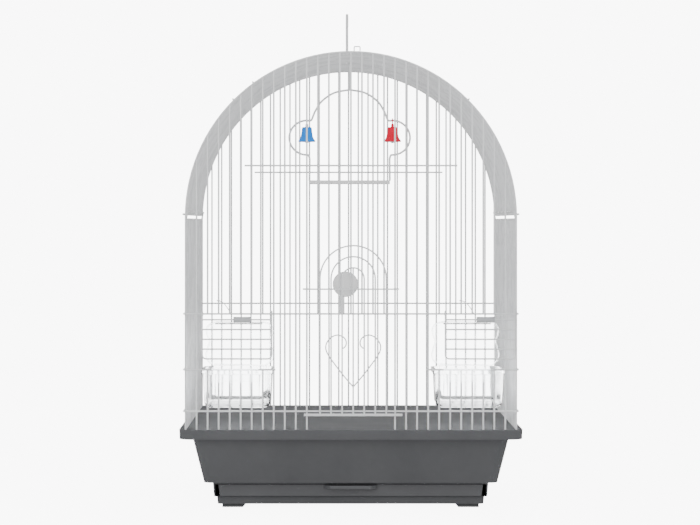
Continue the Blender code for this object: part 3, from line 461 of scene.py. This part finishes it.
def back_wires():
    mesh = bmesh.new()
    arched_wire(mesh, BACK_Y, HALF_X, WIRE_FOOT, WIRE / 2)
    for i in range(1, FRONT_GAPS):
        x = (i - FRONT_GAPS // 2) * PITCH_X
        upright(mesh, x, BACK_Y, WIRE_FOOT, arch_height(x))
    foot_bar(mesh, [(-HALF_X, BACK_Y, WIRE_FOOT), (HALF_X, BACK_Y, WIRE_FOOT)])
    piece("back_grille", mesh, WHITE_PAINT, "white_wire", "wire_top", "back_panel")


def side_wires(label, side):
    mesh = bmesh.new()
    x = side * HALF_X
    end = HALF_Y - WIRE
    for i in range(1, DEEP_GAPS):
        y = (i - DEEP_GAPS / 2) * PITCH_Y
        upright(mesh, x, y, WIRE_FOOT, SIDE_TOP_Z)
    for y in (-end, end):
        upright(mesh, x, y, WIRE_FOOT, SIDE_TOP_Z)
    bent_wire(mesh, [(x, -end, SIDE_TOP_Z), (x, end, SIDE_TOP_Z)], WIRE / 2)
    foot_bar(mesh, [(x, -end, WIRE_FOOT), (x, end, WIRE_FOOT)])
    piece(f"{label}_side_grille", mesh, WHITE_PAINT, "white_wire", "wire_top", f"{label}_side_panel")


def roof_wires():
    """Arched wires side by side, each turned out in a small hook at its ends."""
    mesh = bmesh.new()
    end = HALF_Y - WIRE
    places = [-end] + [(i - DEEP_GAPS / 2) * PITCH_Y for i in range(1, DEEP_GAPS)] + [end]
    lift = math.degrees(math.asin((ROOF_END_Z - SPRING_Z) / HALF_X))
    for y in places:
        over = [(x, y, z) for x, z in arc((0, SPRING_Z), HALF_X, lift, 180 - lift, 52)]
        first = Vector(over[0])
        out = Vector((ROOF_FLARE, 0, -WIRE * 0.4))
        tip = [first + out, first + out * 0.55 - Vector((0, 0, WIRE * 0.55)), first]
        other = [Vector((-p.x, p.y, p.z)) for p in reversed(tip)]
        bent_wire(mesh, tip + over[1:-1] + other, WIRE / 2)
    for side in (-1, 1):
        x = side * (HALF_X - WIRE * 0.9)
        z = ROOF_END_Z + WIRE
        bent_wire(mesh, [(x, -end, z), (x, end, z)], WIRE / 2)
        for corner in (-1, 1):
            y = corner * (end - PITCH_Y * 0.6)
            tie = [(x, y, ROOF_END_Z + WIRE), (side * HALF_X, y, SIDE_TOP_Z)]
            bent_wire(mesh, tie, WIRE / 2)
    piece("roof_grille", mesh, WHITE_PAINT, "white_wire", "wire_top", "roof_panel")


def level_wires():
    """The wires across the front, back and sides, which curl round at their ends."""
    reach = HALF_X + WIRE
    turn_back = 0.006
    rows = [("front_low_rail", LOW_Z), ("front_waist_rail", WAIST_Z)]
    for node, z in rows:
        route = [
            (-reach, -RAIL_Y + turn_back, z),
            (-reach, -RAIL_Y, z),
            (reach, -RAIL_Y, z),
            (reach, -RAIL_Y + turn_back, z),
        ]
        mesh = bmesh.new()
        bent_wire(mesh, softened(route, 0.0016), WIRE / 2)
        piece(node + "_wire", mesh, WHITE_PAINT, "white_wire", "wire_top", node)
    for side, node in ((-1, "left_cup_rail"), (1, "right_cup_rail")):
        low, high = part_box(node)
        inner = high.x if side < 0 else low.x
        route = [
            (inner, -RAIL_Y, CUP_RAIL_Z),
            (side * reach, -RAIL_Y, CUP_RAIL_Z),
            (side * reach, -RAIL_Y + turn_back, CUP_RAIL_Z),
        ]
        mesh = bmesh.new()
        bent_wire(mesh, softened(route, 0.0016), WIRE / 2)
        piece(node + "_wire", mesh, WHITE_PAINT, "white_wire", "wire_top", node)
    straight = [
        ("front_upper_rail", -RAIL_Y, UPPER_HALF),
        ("back_upper_rail", RAIL_Y, UPPER_HALF),
        ("back_waist_rail", RAIL_Y, HALF_X + WIRE / 2),
    ]
    for node, y, half in straight:
        z = middle(node).z
        mesh = bmesh.new()
        bent_wire(mesh, [(-half, y, z), (half, y, z)], WIRE / 2)
        piece(node + "_wire", mesh, WHITE_PAINT, "white_wire", "wire_top", node)
    for side, label in ((-1, "left"), (1, "right")):
        for level in ("waist", "cup", "low"):
            node = f"{label}_side_{level}_rail"
            z = middle(node).z
            x = side * (HALF_X + WIRE)
            mesh = bmesh.new()
            bent_wire(mesh, [(x, -HALF_Y + 0.0065, z), (x, HALF_Y, z)], WIRE / 2)
            piece(node + "_wire", mesh, WHITE_PAINT, "white_wire", "wire_top", node)


def roof_ties():
    """Straight wires along the outside of the roof."""
    for number in (1, 2, 3):
        node = f"roof_wire_{number}"
        spot = middle(node)
        lean = math.atan2(spot.z - SPRING_Z, spot.x)
        radius = HALF_X + WIRE * 0.9
        x = radius * math.cos(lean)
        z = SPRING_Z + radius * math.sin(lean)
        mesh = bmesh.new()
        bent_wire(mesh, [(x, -HALF_Y, z), (x, HALF_Y, z)], WIRE / 2)
        piece(f"roof_tie_{number}", mesh, WHITE_PAINT, "white_wire", "wire_top", node)


def clip():
    low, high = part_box("roof_clip")
    y = (low.y + high.y) / 2
    inset = 0.0006
    route = [
        (low.x + inset, y + 0.006, low.z + inset),
        (low.x + inset, y, low.z + inset),
        (low.x + inset, y, high.z - inset),
        (high.x - inset, y, high.z - inset),
        (high.x - inset, y, low.z + inset),
        (high.x - inset, y + 0.006, low.z + inset),
    ]
    mesh = bmesh.new()
    bent_wire(mesh, softened(route, 0.0008, 3), inset)
    piece("roof_clip_wire", mesh, WHITE_PAINT, "white_wire", "wire_top", "roof_clip")


# ---------------------------------------------------------------- base and drawer


def base_and_drawer():
    rim_x, rim_y, rim_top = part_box("base_tub")[1]
    rim_bottom = rim_top - RIM_HIGH
    tub_x = rim_x - RIM_OVERHANG
    tub_y = rim_y - RIM_OVERHANG
    foot_x = tub_x - TUB_TAPER
    foot_y = tub_y - TUB_TAPER
    house_x = foot_x - HOUSE_INSET
    house_y = foot_y - HOUSE_INSET
    plinth_x = house_x - PLINTH_INSET
    plinth_y = house_y - PLINTH_INSET
    wall = MOULD_WALL
    body = moulding(
        [
            (PLINTH_LOW, plinth_x - 0.0008, plinth_y - 0.0008, 0.004),
            (HOUSE_LOW, plinth_x, plinth_y, 0.004),
            (HOUSE_LOW, house_x - 0.0012, house_y - 0.0012, 0.004),
            (TUB_LOW, house_x, house_y, 0.004),
            (TUB_LOW, foot_x, foot_y, 0.008),
            (rim_bottom, tub_x, tub_y, 0.008),
            (rim_bottom, rim_x - 0.0004, rim_y - 0.0004, 0.0133),
            (rim_top, rim_x, rim_y, 0.0135),
        ]
    )
    seat = 0.003
    ledge = WIRE_FOOT - 0.0003
    hollow = moulding(
        [
            (TUB_LOW + wall, foot_x - wall, foot_y - wall, 0.0056),
            (ledge, tub_x - wall, tub_y - wall, 0.0056),
            (ledge, rim_x - seat, rim_y - seat, 0.0105),
            (rim_top + seat, rim_x - seat, rim_y - seat, 0.0105),
        ]
    )
    bay_x = house_x - wall
    pocket = slab(
        (-bay_x, -house_y - 0.01, HOUSE_LOW + 0.0003), (bay_x, house_y - wall, TUB_LOW - wall)
    )
    ledge_in = 0.008
    floor_hole = slab(
        (ledge_in - bay_x, -house_y + wall + ledge_in, TUB_LOW - 2 * wall),
        (bay_x - ledge_in, house_y - wall - ledge_in, TUB_LOW + 2 * wall),
    )
    under = slab(
        (wall - plinth_x, wall - plinth_y, 0), (plinth_x - wall, plinth_y - wall, HOUSE_LOW - wall)
    )
    feet = []
    for sx in (-1, 1):
        for sy in (-1, 1):
            outer = plinth_x - FOOT_EDGE
            inner = outer - FOOT_LENGTH
            outline = [
                (sx * outer, 0),
                (sx * inner, 0),
                (sx * (inner - FOOT_FLARE), PLINTH_LOW),
                (sx * (inner - FOOT_FLARE), HOUSE_LOW - wall / 2),
                (sx * outer, HOUSE_LOW - wall / 2),
            ]
            near, far = sorted((sy * (plinth_y - FOOT_DEEP), sy * (plinth_y - FOOT_EDGE)))
            feet.append(prism(outline, near, far))
    base = carved(body, [hollow, pocket, floor_hole, under], feet, 0.0006, 2)
    piece("moulded_base", base, BASE_GREY, "grey_base", "base", "base_tub")
    drawer(house_y)


def drawer(house_y):
    box_low, box_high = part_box("litter_drawer")
    half_x = box_high.x
    front = -house_y
    back = box_high.y
    low = box_low.z
    high = box_high.z
    lean = 0.0008
    front_outline = [
        (-half_x + lean * 2, low),
        (half_x - lean * 2, low),
        (half_x, high),
        (-half_x, high),
    ]
    body = prism(front_outline, front, back)
    wall = 0.002
    inside = slab(
        (wall + 0.0016 - half_x, front + 0.003, low + wall),
        (half_x - wall - 0.0016, back - wall, high + wall),
    )
    lip_low, lip_high = box_low.y, high - 0.0003
    lip_half = 0.0265
    lip_outline = [
        (-lip_half + 0.004, front + wall),
        (-lip_half, front + 0.0005),
        (-lip_half, front - 0.002),
        (-lip_half + 0.006, lip_low),
        (lip_half - 0.006, lip_low),
        (lip_half, front - 0.002),
        (lip_half, front + 0.0005),
        (lip_half - 0.004, front + wall),
    ]
    lip = bmesh.new()
    face = lip.faces.new([lip.verts.new((x, y, lip_high - 0.0035)) for x, y in lip_outline])
    grown = bmesh.ops.extrude_face_region(lip, geom=[face])
    bmesh.ops.translate(lip, verts=grown_verts(grown), vec=(0, 0, 0.0035))
    made = carved(body, [inside], [lip], 0.0004, 2)
    piece("drawer_moulding", made, DRAWER_GREY, "grey_drawer", "drawer", "litter_drawer")


# ---------------------------------------------------------------- sliding door


def main_door():
    low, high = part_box("main_door")
    y = low.y + 0.0003 + THIN / 2 + 0.0001
    centre = (low.x + high.x) / 2
    pitch = PITCH_X
    top = high.z - THIN / 2
    spring = top - 3 * pitch
    foot = low.z + 0.0015
    rod_z = WAIST_Z + DOOR_ROD_RISE
    mesh = bmesh.new()
    for ring in (1, 2, 3):
        radius = ring * pitch
        route = [(centre + radius, y, foot)]
        route += [(x, y, z) for x, z in arc((centre, spring), radius, 0, 180, 12 * ring)]
        route += [(centre - radius, y, foot)]
        bent_wire(mesh, route, THIN / 2)
    bent_wire(mesh, [(centre, y, foot), (centre, y, spring + pitch)], THIN / 2)
    half = (high.x - low.x) / 2 - THIN / 2
    bent_wire(mesh, [(centre - half, y, foot), (centre + half, y, foot)], 0.0014, 10)
    guide = DOORWAY_GAPS * PITCH_X
    behind = FRONT_Y + WIRE / 2 + THIN * 0.55
    rod_y = y + THIN * 0.1
    for side in (-1, 1):
        hold = side * guide
        out = side * (guide + 0.0035)
        curl = [
            (centre, rod_y, rod_z),
            (out, rod_y, rod_z),
            (out, behind, rod_z),
            (hold - side * 0.0015, behind, rod_z),
        ]
        bent_wire(mesh, softened(curl, 0.0014), THIN / 2)
    piece("door_grille", mesh, WHITE_PAINT, "white_wire", "main_door", "main_door")
    heart(centre)


def heart(centre):
    low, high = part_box("door_heart")
    y = (low.y + high.y) / 2
    inset = 0.0007
    half = (high.x - low.x) / 2 - inset
    tip = low.z + inset
    top = high.z - inset
    height = top - tip
    side = [
        (0.37, 0.74),
        (0.27, 0.80),
        (0.265, 0.89),
        (0.38, 0.97),
        (0.62, 1.0),
        (0.86, 0.93),
        (1.0, 0.80),
        (0.95, 0.65),
        (0.66, 0.425),
        (0.33, 0.20),
        (0.03, 0.015),
        (0.0, 0.0),
    ]
    right = [Vector((centre + u * half, y, tip + v * height)) for u, v in side]
    left = [Vector((centre - u * half, y, tip + v * height)) for u, v in side]
    mesh = bmesh.new()
    bent_wire(mesh, smooth_route(right, 5), inset)
    bent_wire(mesh, smooth_route(left, 5), inset)
    piece("heart_wire", mesh, WHITE_PAINT, "white_wire", "main_door", "door_heart")


# ---------------------------------------------------------------- feeders


def feeder_door(label):
    low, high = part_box(f"{label}_feeder_door")
    body = f"{label}_flap"
    axis = Vector(hinge_of(f"{label}_flap_hinge"))
    radius = THIN / 2
    y = low.y + 0.0008
    side_x = (low.x + radius, high.x - radius)
    bars = [axis.z - FLAP_TOP_DROP - i * FLAP_PITCH for i in range(FLAP_BARS)]
    curl = 0.0017 + radius
    mesh = bmesh.new()
    over = [(axis.y - curl * math.cos(a), axis.z + curl * math.sin(a)) for a in
            [math.radians(20 * i) for i in range(0, 13)]]
    route = [(side_x[0], yy, zz) for yy, zz in reversed(over)]
    route += [(side_x[0], y, axis.z - 0.004), *softened(
        [
            (side_x[0], y, bars[0]),
            (side_x[0], y, bars[-1]),
            (side_x[1], y, bars[-1]),
            (side_x[1], y, bars[0]),
        ],
        0.0045,
        6,
    )]
    route += [(side_x[1], y, axis.z - 0.004)]
    route += [(side_x[1], yy, zz) for yy, zz in over]
    bent_wire(mesh, route, radius)
    for z in bars[:-1]:
        bent_wire(mesh, [(side_x[0], y - radius * 0.6, z), (side_x[1], y - radius * 0.6, z)], radius)
    piece(f"{label}_door_wires", mesh, WHITE_PAINT, "white_wire", body, f"{label}_feeder_door")
    sleeve(label, body)


def sleeve(label, body):
    low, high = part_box(f"{label}_door_sleeve")
    centre = (low + high) / 2
    half = (high.x - low.x) / 2
    radius = (high.z - low.z) / 2
    hole = 0.0010
    edge = 0.0005
    profile = [
        (hole, -half),
        (radius - edge, -half),
        (radius, edge - half),
        (radius * 0.93, 0),
        (radius, half - edge),
        (radius - edge, half),
        (hole, half),
        (hole, -half),
    ]
    lean = Matrix.Rotation(math.pi / 2, 3, "Y")
    mesh = turned(profile, 24, lean, centre)
    piece(f"{label}_grip_sleeve", mesh, SLEEVE_GREY, "grey_sleeve", body, f"{label}_door_sleeve")


def catch(label):
    low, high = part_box(f"{label}_catch_wire")
    axis = Vector(hinge_of(f"{label}_catch_hinge"))
    radius = 0.0005
    curl = WIRE / 2 + radius + 0.0002
    turn = [math.radians(a) for a in range(60, 331, 15)]
    ring = [
        (axis.x + curl * math.cos(a), axis.y + curl * math.sin(a), axis.z + 0.0010 - 0.0007 * i / 18)
        for i, a in enumerate(turn)
    ]
    front = low.y + 0.0006 + radius
    reach = high.x - radius
    foot = low.z + radius
    tail = smooth_route(
        [
            ring[-1],
            (axis.x + 0.0050, front + 0.001, axis.z - 0.0016),
            (axis.x + 0.0090, front, axis.z - 0.0065),
            (reach, front, foot),
        ],
        6,
    )
    mesh = bmesh.new()
    bent_wire(mesh, ring[:-1] + tail, radius)
    piece(f"{label}_catch", mesh, WHITE_PAINT, "white_wire", f"{label}_catch", f"{label}_catch_wire")


def feeder(label):
    body = f"{label}_cup"
    low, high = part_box(f"{label}_feeder_cup")
    half_x = (high.x - low.x) / 2
    centre_x = (high.x + low.x) / 2
    front = FRONT_Y + WIRE / 2 + 0.0003
    half_y = (high.y - front) / 2
    centre_y = front + half_y
    floor = low.z
    rim = floor + 0.038
    wall = CLEAR_WALL
    flange = 0.0020
    flange_high = 0.0045
    shell = moulding(
        [
            (floor, half_x - 0.0068, half_y - 0.0068, 0.009),
            (floor + 0.0012, half_x - 0.0048, half_y - 0.0048, 0.0105),
            (floor + 0.004, half_x - 0.0032, half_y - 0.0032, 0.0115),
            (rim - flange_high, half_x - flange, half_y - flange, 0.0105),
            (rim - flange_high + 0.0005, half_x, half_y, 0.011),
            (rim, half_x, half_y, 0.011),
        ]
    )
    inside = moulding(
        [
            (floor + wall, half_x - 0.0068 - wall * 0.6, half_y - 0.0068 - wall * 0.6, 0.008),
            (floor + 0.0045, half_x - 0.0032 - wall, half_y - 0.0032 - wall, 0.0105),
            (rim - 0.0015, half_x - flange - wall, half_y - flange - wall, 0.0095),
            (rim + wall, half_x - flange - wall * 0.9, half_y - flange - wall * 0.9, 0.0095),
        ]
    )
    for mesh in (shell, inside):
        bmesh.ops.translate(mesh, verts=mesh.verts, vec=(centre_x, centre_y, 0))
    lip = cup_lip(low, high, front, rim)
    made = carved(shell, [inside], lip, 0.0003, 2)
    piece(f"{label}_clear_cup", made, CLEAR, "clear_plastic", body, f"{label}_feeder_cup")
    hood(label, body)


def cup_lip(low, high, front, rim):
    """The turned-down lip over the cup rail, with a rib at each end."""
    cup_x = (low.x + high.x) / 2
    side = math.copysign(1, cup_x)
    centre = side * (OPENING_GAPS[0] + OPENING_GAPS[1]) / 2 * PITCH_X
    half = 0.023
    outer = -RAIL_Y - WIRE / 2 - 0.0002
    thick = 0.0010
    over = CUP_RAIL_Z + WIRE / 2 + 0.0003
    section = [
        (front + 0.0008, rim - 0.0030),
        (front + 0.0008, over + thick),
        (outer - thick, over + thick),
        (outer - thick, over - 0.0134),
        (outer, over - 0.0134),
        (outer, over),
        (front - 0.0004, over),
        (front - 0.0004, rim - 0.0030),
    ]
    plate = prism(section, -centre - half, -centre + half)
    bmesh.ops.rotate(plate, verts=plate.verts, matrix=Matrix.Rotation(math.pi / 2, 3, "Z"))
    parts = [plate]
    for end in (-1, 1):
        x = centre + end * (half - 0.0006)
        parts.append(
            slab(
                (x - 0.0007, outer - thick - 0.0004, over - 0.0144),
                (x + 0.0007, outer - 0.0002, over + thick * 0.8),
            )
        )
    return parts


def hood(label, body):
    """A clear waisted guard with a thick rounded rim, and a small roof."""
    low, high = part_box(f"{label}_feeder_hood")
    centre = (low.x + high.x) / 2
    half = (high.x - low.x) / 2 + 0.0012
    height = high.z - low.z
    side = [
        (0.74, 0.0),
        (0.93, 0.10),
        (1.0, 0.24),
        (0.95, 0.42),
        (0.90, 0.56),
        (0.97, 0.72),
        (0.98, 0.86),
        (0.86, 0.97),
        (0.70, 1.0),
    ]
    right = smooth_route([(centre + u * half, 0, low.z + v * height) for u, v in side], 4)
    left = [Vector((2 * centre - p.x, 0, p.z)) for p in reversed(right)]
    outline = [(p.x, p.z) for p in right + left]
    back = high.y
    plate = prism(outline, back - CLEAR_WALL, back)
    roof = slab(
        (centre - half * 0.70, low.y, high.z - 0.0009),
        (centre + half * 0.70, back - 0.0006, high.z - 0.0002),
    )
    made = carved(plate, [], [roof], 0.0004, 2)
    piece(f"{label}_clear_hood", made, CLEAR, "clear_plastic", body, f"{label}_feeder_hood")
    rim = bmesh.new()
    route = [Vector((p.x, back - 0.0014, p.z)) for p in right[:-1] + left[:-1]]
    bent_wire(rim, route, 0.0008, 6, True)
    piece(f"{label}_hood_rim", rim, CLEAR, "clear_plastic", body)


# ---------------------------------------------------------------- perch, swing, bells, hook


def perch():
    low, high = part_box("perch")
    centre = (low + high) / 2
    radius = (high.x - low.x) / 2
    length = high.y - low.y
    profile = [(0, 0), (radius * 0.8, 0), (radius * 0.95, 0.0006)]
    grooves = 14
    for i in range(grooves):
        at = 0.004 + (length - 0.008) * i / (grooves - 1)
        profile += [(radius, at - 0.0012), (radius * 0.94, at), (radius, at + 0.0012)]
    profile += [(radius * 0.95, length - 0.0006), (radius * 0.8, length), (0, length)]
    lean = Matrix.Rotation(-math.pi / 2, 3, "X")
    mesh = turned(profile, 28, lean, (centre.x, low.y, centre.z))
    piece("perch_bar", mesh, PERCH_GREY, "grey_sleeve", "wire_top", "perch")
    low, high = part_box("perch_cap")
    radius = (high.x - low.x) / 2
    depth = high.y - low.y
    profile = [
        (0, depth * 0.05),
        (radius * 0.45, depth * 0.06),
        (radius * 0.75, depth * 0.16),
        (radius * 0.92, depth * 0.34),
        (radius * 0.99, depth * 0.58),
        (radius, depth * 0.75),
        (radius * 0.98, depth),
        (radius * 0.5, depth * 0.96),
        (0, depth * 0.96),
    ]
    centre_z = high.z - radius
    mesh = turned(profile, 40, lean, ((low.x + high.x) / 2, low.y, centre_z))
    tab_x = (low.x + high.x) / 2 - 0.0028
    tab = slab(
        (tab_x - 0.002, low.y + depth / 2, low.z), (tab_x + 0.002, high.y - 0.0003, centre_z - 0.006)
    )
    cap = carved(mesh, [], [tab])
    piece("perch_end_cap", cap, CAP_WHITE, "white_plastic", "wire_top", "perch_cap")


def swing():
    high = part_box("swing_frame")[1]
    axis = Vector(hinge_of("swing_hinge"))
    bell_x, _, shoulder = hinge_of("red_bell_hinge")
    bar_low, bar_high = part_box("swing_perch")
    radius = (bar_high.z - bar_low.z) / 2
    half_long = (bar_high.x - bar_low.x) / 2
    wire = 0.0011
    top = axis.z - 0.0294
    bottom = shoulder - 0.0368
    dome = [(0, top), (0.0165, top - 0.0033), (0.0300, top - 0.0125), (0.0372, top - 0.0235)]
    dome = [(p.x, p.y) for p in smooth_route([(x, z, 0) for x, z in dome], 6)]
    reach = high.x - wire - bell_x
    middle_z = (shoulder + bottom) / 2
    lobe = [
        (x, middle_z + (z - middle_z) * (shoulder - bottom) / 2 / reach)
        for x, z in arc((bell_x, middle_z), reach, 90, -90, 20)
    ]
    leg = half_long - 0.0001
    knee = [(0.0410, shoulder - 0.0006), *lobe, (0.0440, bottom), (0.0426, bottom - 0.0035)]
    foot = (leg, bar_high.z - 0.0006)
    half = dome + knee + [foot]
    right = softened([(x, 0, z) for x, z in half], 0.0022, 3)
    left = [Vector((-p.x, p.y, p.z)) for p in reversed(right)]
    mesh = bmesh.new()
    bent_wire(mesh, left[:-1] + right, wire, 10)
    curl = WIRE + 0.0004
    eye = [(0, y, z) for y, z in arc((axis.y, axis.z), curl, -90, 200, 14)]
    stem = [(0, 0, top), (0, 0, axis.z - curl - 0.004)]
    bent_wire(mesh, softened([*stem, *eye], 0.001, 2), WIRE * 0.42)
    piece("swing_wire", mesh, WHITE_PAINT, "white_wire", "swing", "swing_frame")
    profile = [
        (0, -half_long),
        (radius * 0.8, -half_long),
        (radius, 0.0006 - half_long),
        (radius * 0.96, -half_long * 0.5),
        (radius * 0.96, half_long * 0.5),
        (radius, half_long - 0.0006),
        (radius * 0.8, half_long),
        (0, half_long),
    ]
    lean = Matrix.Rotation(math.pi / 2, 3, "Y")
    mesh = turned(profile, 20, lean, (0, 0, (bar_low.z + bar_high.z) / 2))
    piece("swing_bar", mesh, CAP_WHITE, "white_plastic", "swing", "swing_perch")


def bell(colour, finish):
    body = f"{colour}_bell"
    low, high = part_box(body)
    x = hinge_of(f"{colour}_bell_hinge")[0]
    mouth = low.z
    radius = (high.x - low.x) / 2
    tall = BELL_HIGH
    outer = [
        (0.0016, tall),
        (0.0044, tall - 0.0001),
        (0.0051, tall - 0.0006),
        (0.0054, tall - 0.0016),
        (0.0058, tall - 0.0060),
        (0.0064, tall - 0.0095),
        (0.0071, tall - 0.0118),
        (0.0081, tall - 0.0133),
        (0.0089, tall - 0.0141),
        (radius, tall - 0.0148),
        (radius, 0.0),
    ]
    thick = 0.0007
    inner = [(r - thick, z - thick) for r, z in reversed(outer[2:-2])]
    knob = [(0, tall + 0.0036), (0.0011, tall + 0.0034), (0.0016, tall + 0.0026)]
    profile = knob + outer + [(radius - thick, 0.0)] + inner + [(0, tall - thick * 1.5)]
    mesh = turned([(r, mouth + z) for r, z in profile], 36, None, (x, 0, 0))
    ring_z = high.z - 0.0035
    ring = [(x, y, z) for y, z in arc((0, ring_z), 0.0028, 0, 345, 23)]
    bent_wire(mesh, ring, 0.0006, 6, True)
    piece(f"{colour}_bell_shell", mesh, finish, f"{colour}_bell", body, body)
    node = f"{colour}_clapper"
    low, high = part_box(node)
    ball = (high.x - low.x) / 2
    centre = low.z + ball
    turn = [math.radians(12 * i) for i in range(2, 15)]
    round_part = [(ball * math.sin(a), centre + ball * math.cos(a)) for a in turn]
    profile = [(0, high.z), (0.0005, high.z), (0.0005, centre + ball * 0.95)]
    mesh = turned([*profile, *round_part, (0, centre - ball)], 20, None, (x, 0, 0))
    piece(f"{colour}_bell_clapper", mesh, CLAPPER_STEEL, "clapper_steel", node, node)


def hook():
    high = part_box("hanging_hook")[1]
    axis = Vector(hinge_of("hook_hinge"))
    radius = HOOK_RADIUS
    bend = HOOK_BEND
    bend_z = high.z - radius - bend
    x = axis.x
    curl = WIRE / 2 + radius * 0.75 + 0.0002
    eye = [(x, y, z) for y, z in arc((axis.y, axis.z), curl, 200, 470, 14)]
    rise = bend_z - axis.z
    stem = [
        (x, 0.0004, axis.z + curl + rise * 0.16),
        (x, 0.0012, axis.z + rise * 0.40),
        (x, 0.0060, axis.z + rise * 0.64),
        (x, bend * 0.93, axis.z + rise * 0.85),
    ]
    over = [(x, y, z) for y, z in arc((0, bend_z), bend, 0, 180, 12)]
    tip = [(x, -bend * 0.98, bend_z - 0.0028)]
    route = smooth_route(eye[:12] + stem + over + tip, 3)
    mesh = bmesh.new()
    bent_wire(mesh, route, radius, 10)
    piece("hook_wire", mesh, WHITE_PAINT, "white_wire", "hook", "hanging_hook")


# ---------------------------------------------------------------- room


def area_light(name, at, aim, size, power):
    data = bpy.data.lights.new(name, "AREA")
    data.shape = "RECTANGLE"
    data.size = size[0]
    data.size_y = size[1]
    data.energy = power
    light = bpy.data.objects.new(name, data)
    light.location = at
    light.rotation_euler = (Vector(aim) - Vector(at)).to_track_quat("-Z", "Y").to_euler()
    bpy.context.collection.objects.link(light)


def seen_directly(nodes, links):
    """1 for what is seen straight on or through clear plastic, 0 for light on the object."""
    path = nodes.new("ShaderNodeLightPath")
    either = nodes.new("ShaderNodeMath")
    either.operation = "MAXIMUM"
    links.new(path.outputs["Is Camera Ray"], either.inputs[0])
    links.new(path.outputs["Is Transmission Ray"], either.inputs[1])
    return either.outputs["Value"]


def room():
    mesh = bmesh.new()
    bmesh.ops.create_grid(mesh, x_segments=1, y_segments=1, size=8)
    floor = to_object("floor", mesh)
    paint = bpy.data.materials.new("pale_floor")
    paint.use_nodes = True
    nodes = paint.node_tree.nodes
    links = paint.node_tree.links
    shader = nodes["Principled BSDF"]
    shader.inputs["Base Color"].default_value = (0.9, 0.9, 0.9, 1)
    shader.inputs["Roughness"].default_value = 0.9
    shader.inputs["Emission Color"].default_value = (1, 1, 1, 1)
    glow = nodes.new("ShaderNodeMath")
    glow.operation = "MULTIPLY"
    glow.inputs[1].default_value = FLOOR_WHITE
    links.new(seen_directly(nodes, links), glow.inputs[0])
    links.new(glow.outputs["Value"], shader.inputs["Emission Strength"])
    floor.data.materials.append(paint)
    world = bpy.data.worlds.new("studio")
    world.use_nodes = True
    nodes = world.node_tree.nodes
    links = world.node_tree.links
    sky = nodes["Background"]
    sky.inputs["Color"].default_value = (1, 1, 1, 1)
    level = nodes.new("ShaderNodeMapRange")
    level.inputs["To Min"].default_value = SKY_LIGHT
    level.inputs["To Max"].default_value = SKY_WHITE
    links.new(seen_directly(nodes, links), level.inputs["Value"])
    links.new(level.outputs["Result"], sky.inputs["Strength"])
    bpy.context.scene.world = world
    area_light("key", (-1.3, -2.0, 0.9), (0, 0, 0.25), (1.4, 1.2), 16)
    area_light("fill", (1.6, -1.8, 0.7), (0, 0, 0.25), (1.4, 1.2), 9)
    area_light("low", (0, -1.6, 0.12), (0, 0, 0.08), (1.6, 0.2), 0.8)


def camera():
    data = bpy.data.cameras.new("camera")
    data.sensor_width = 36
    data.lens = 103.4
    data.shift_x = 0.0286
    data.shift_y = -0.0557
    made = bpy.data.objects.new("camera", data)
    made.location = (-0.021, -2.1465, 0.289)
    made.rotation_euler = (math.pi / 2, 0, 0)
    bpy.context.collection.objects.link(made)
    bpy.context.scene.camera = made


front_wires()
back_wires()
side_wires("left", -1)
side_wires("right", 1)
roof_wires()
level_wires()
roof_ties()
clip()
base_and_drawer()
main_door()
for where in ("left", "right"):
    feeder_door(where)
    catch(where)
    feeder(where)
perch()
swing()
bell("blue", BELL_BLUE)
bell("red", BELL_RED)
hook()
room()
camera()
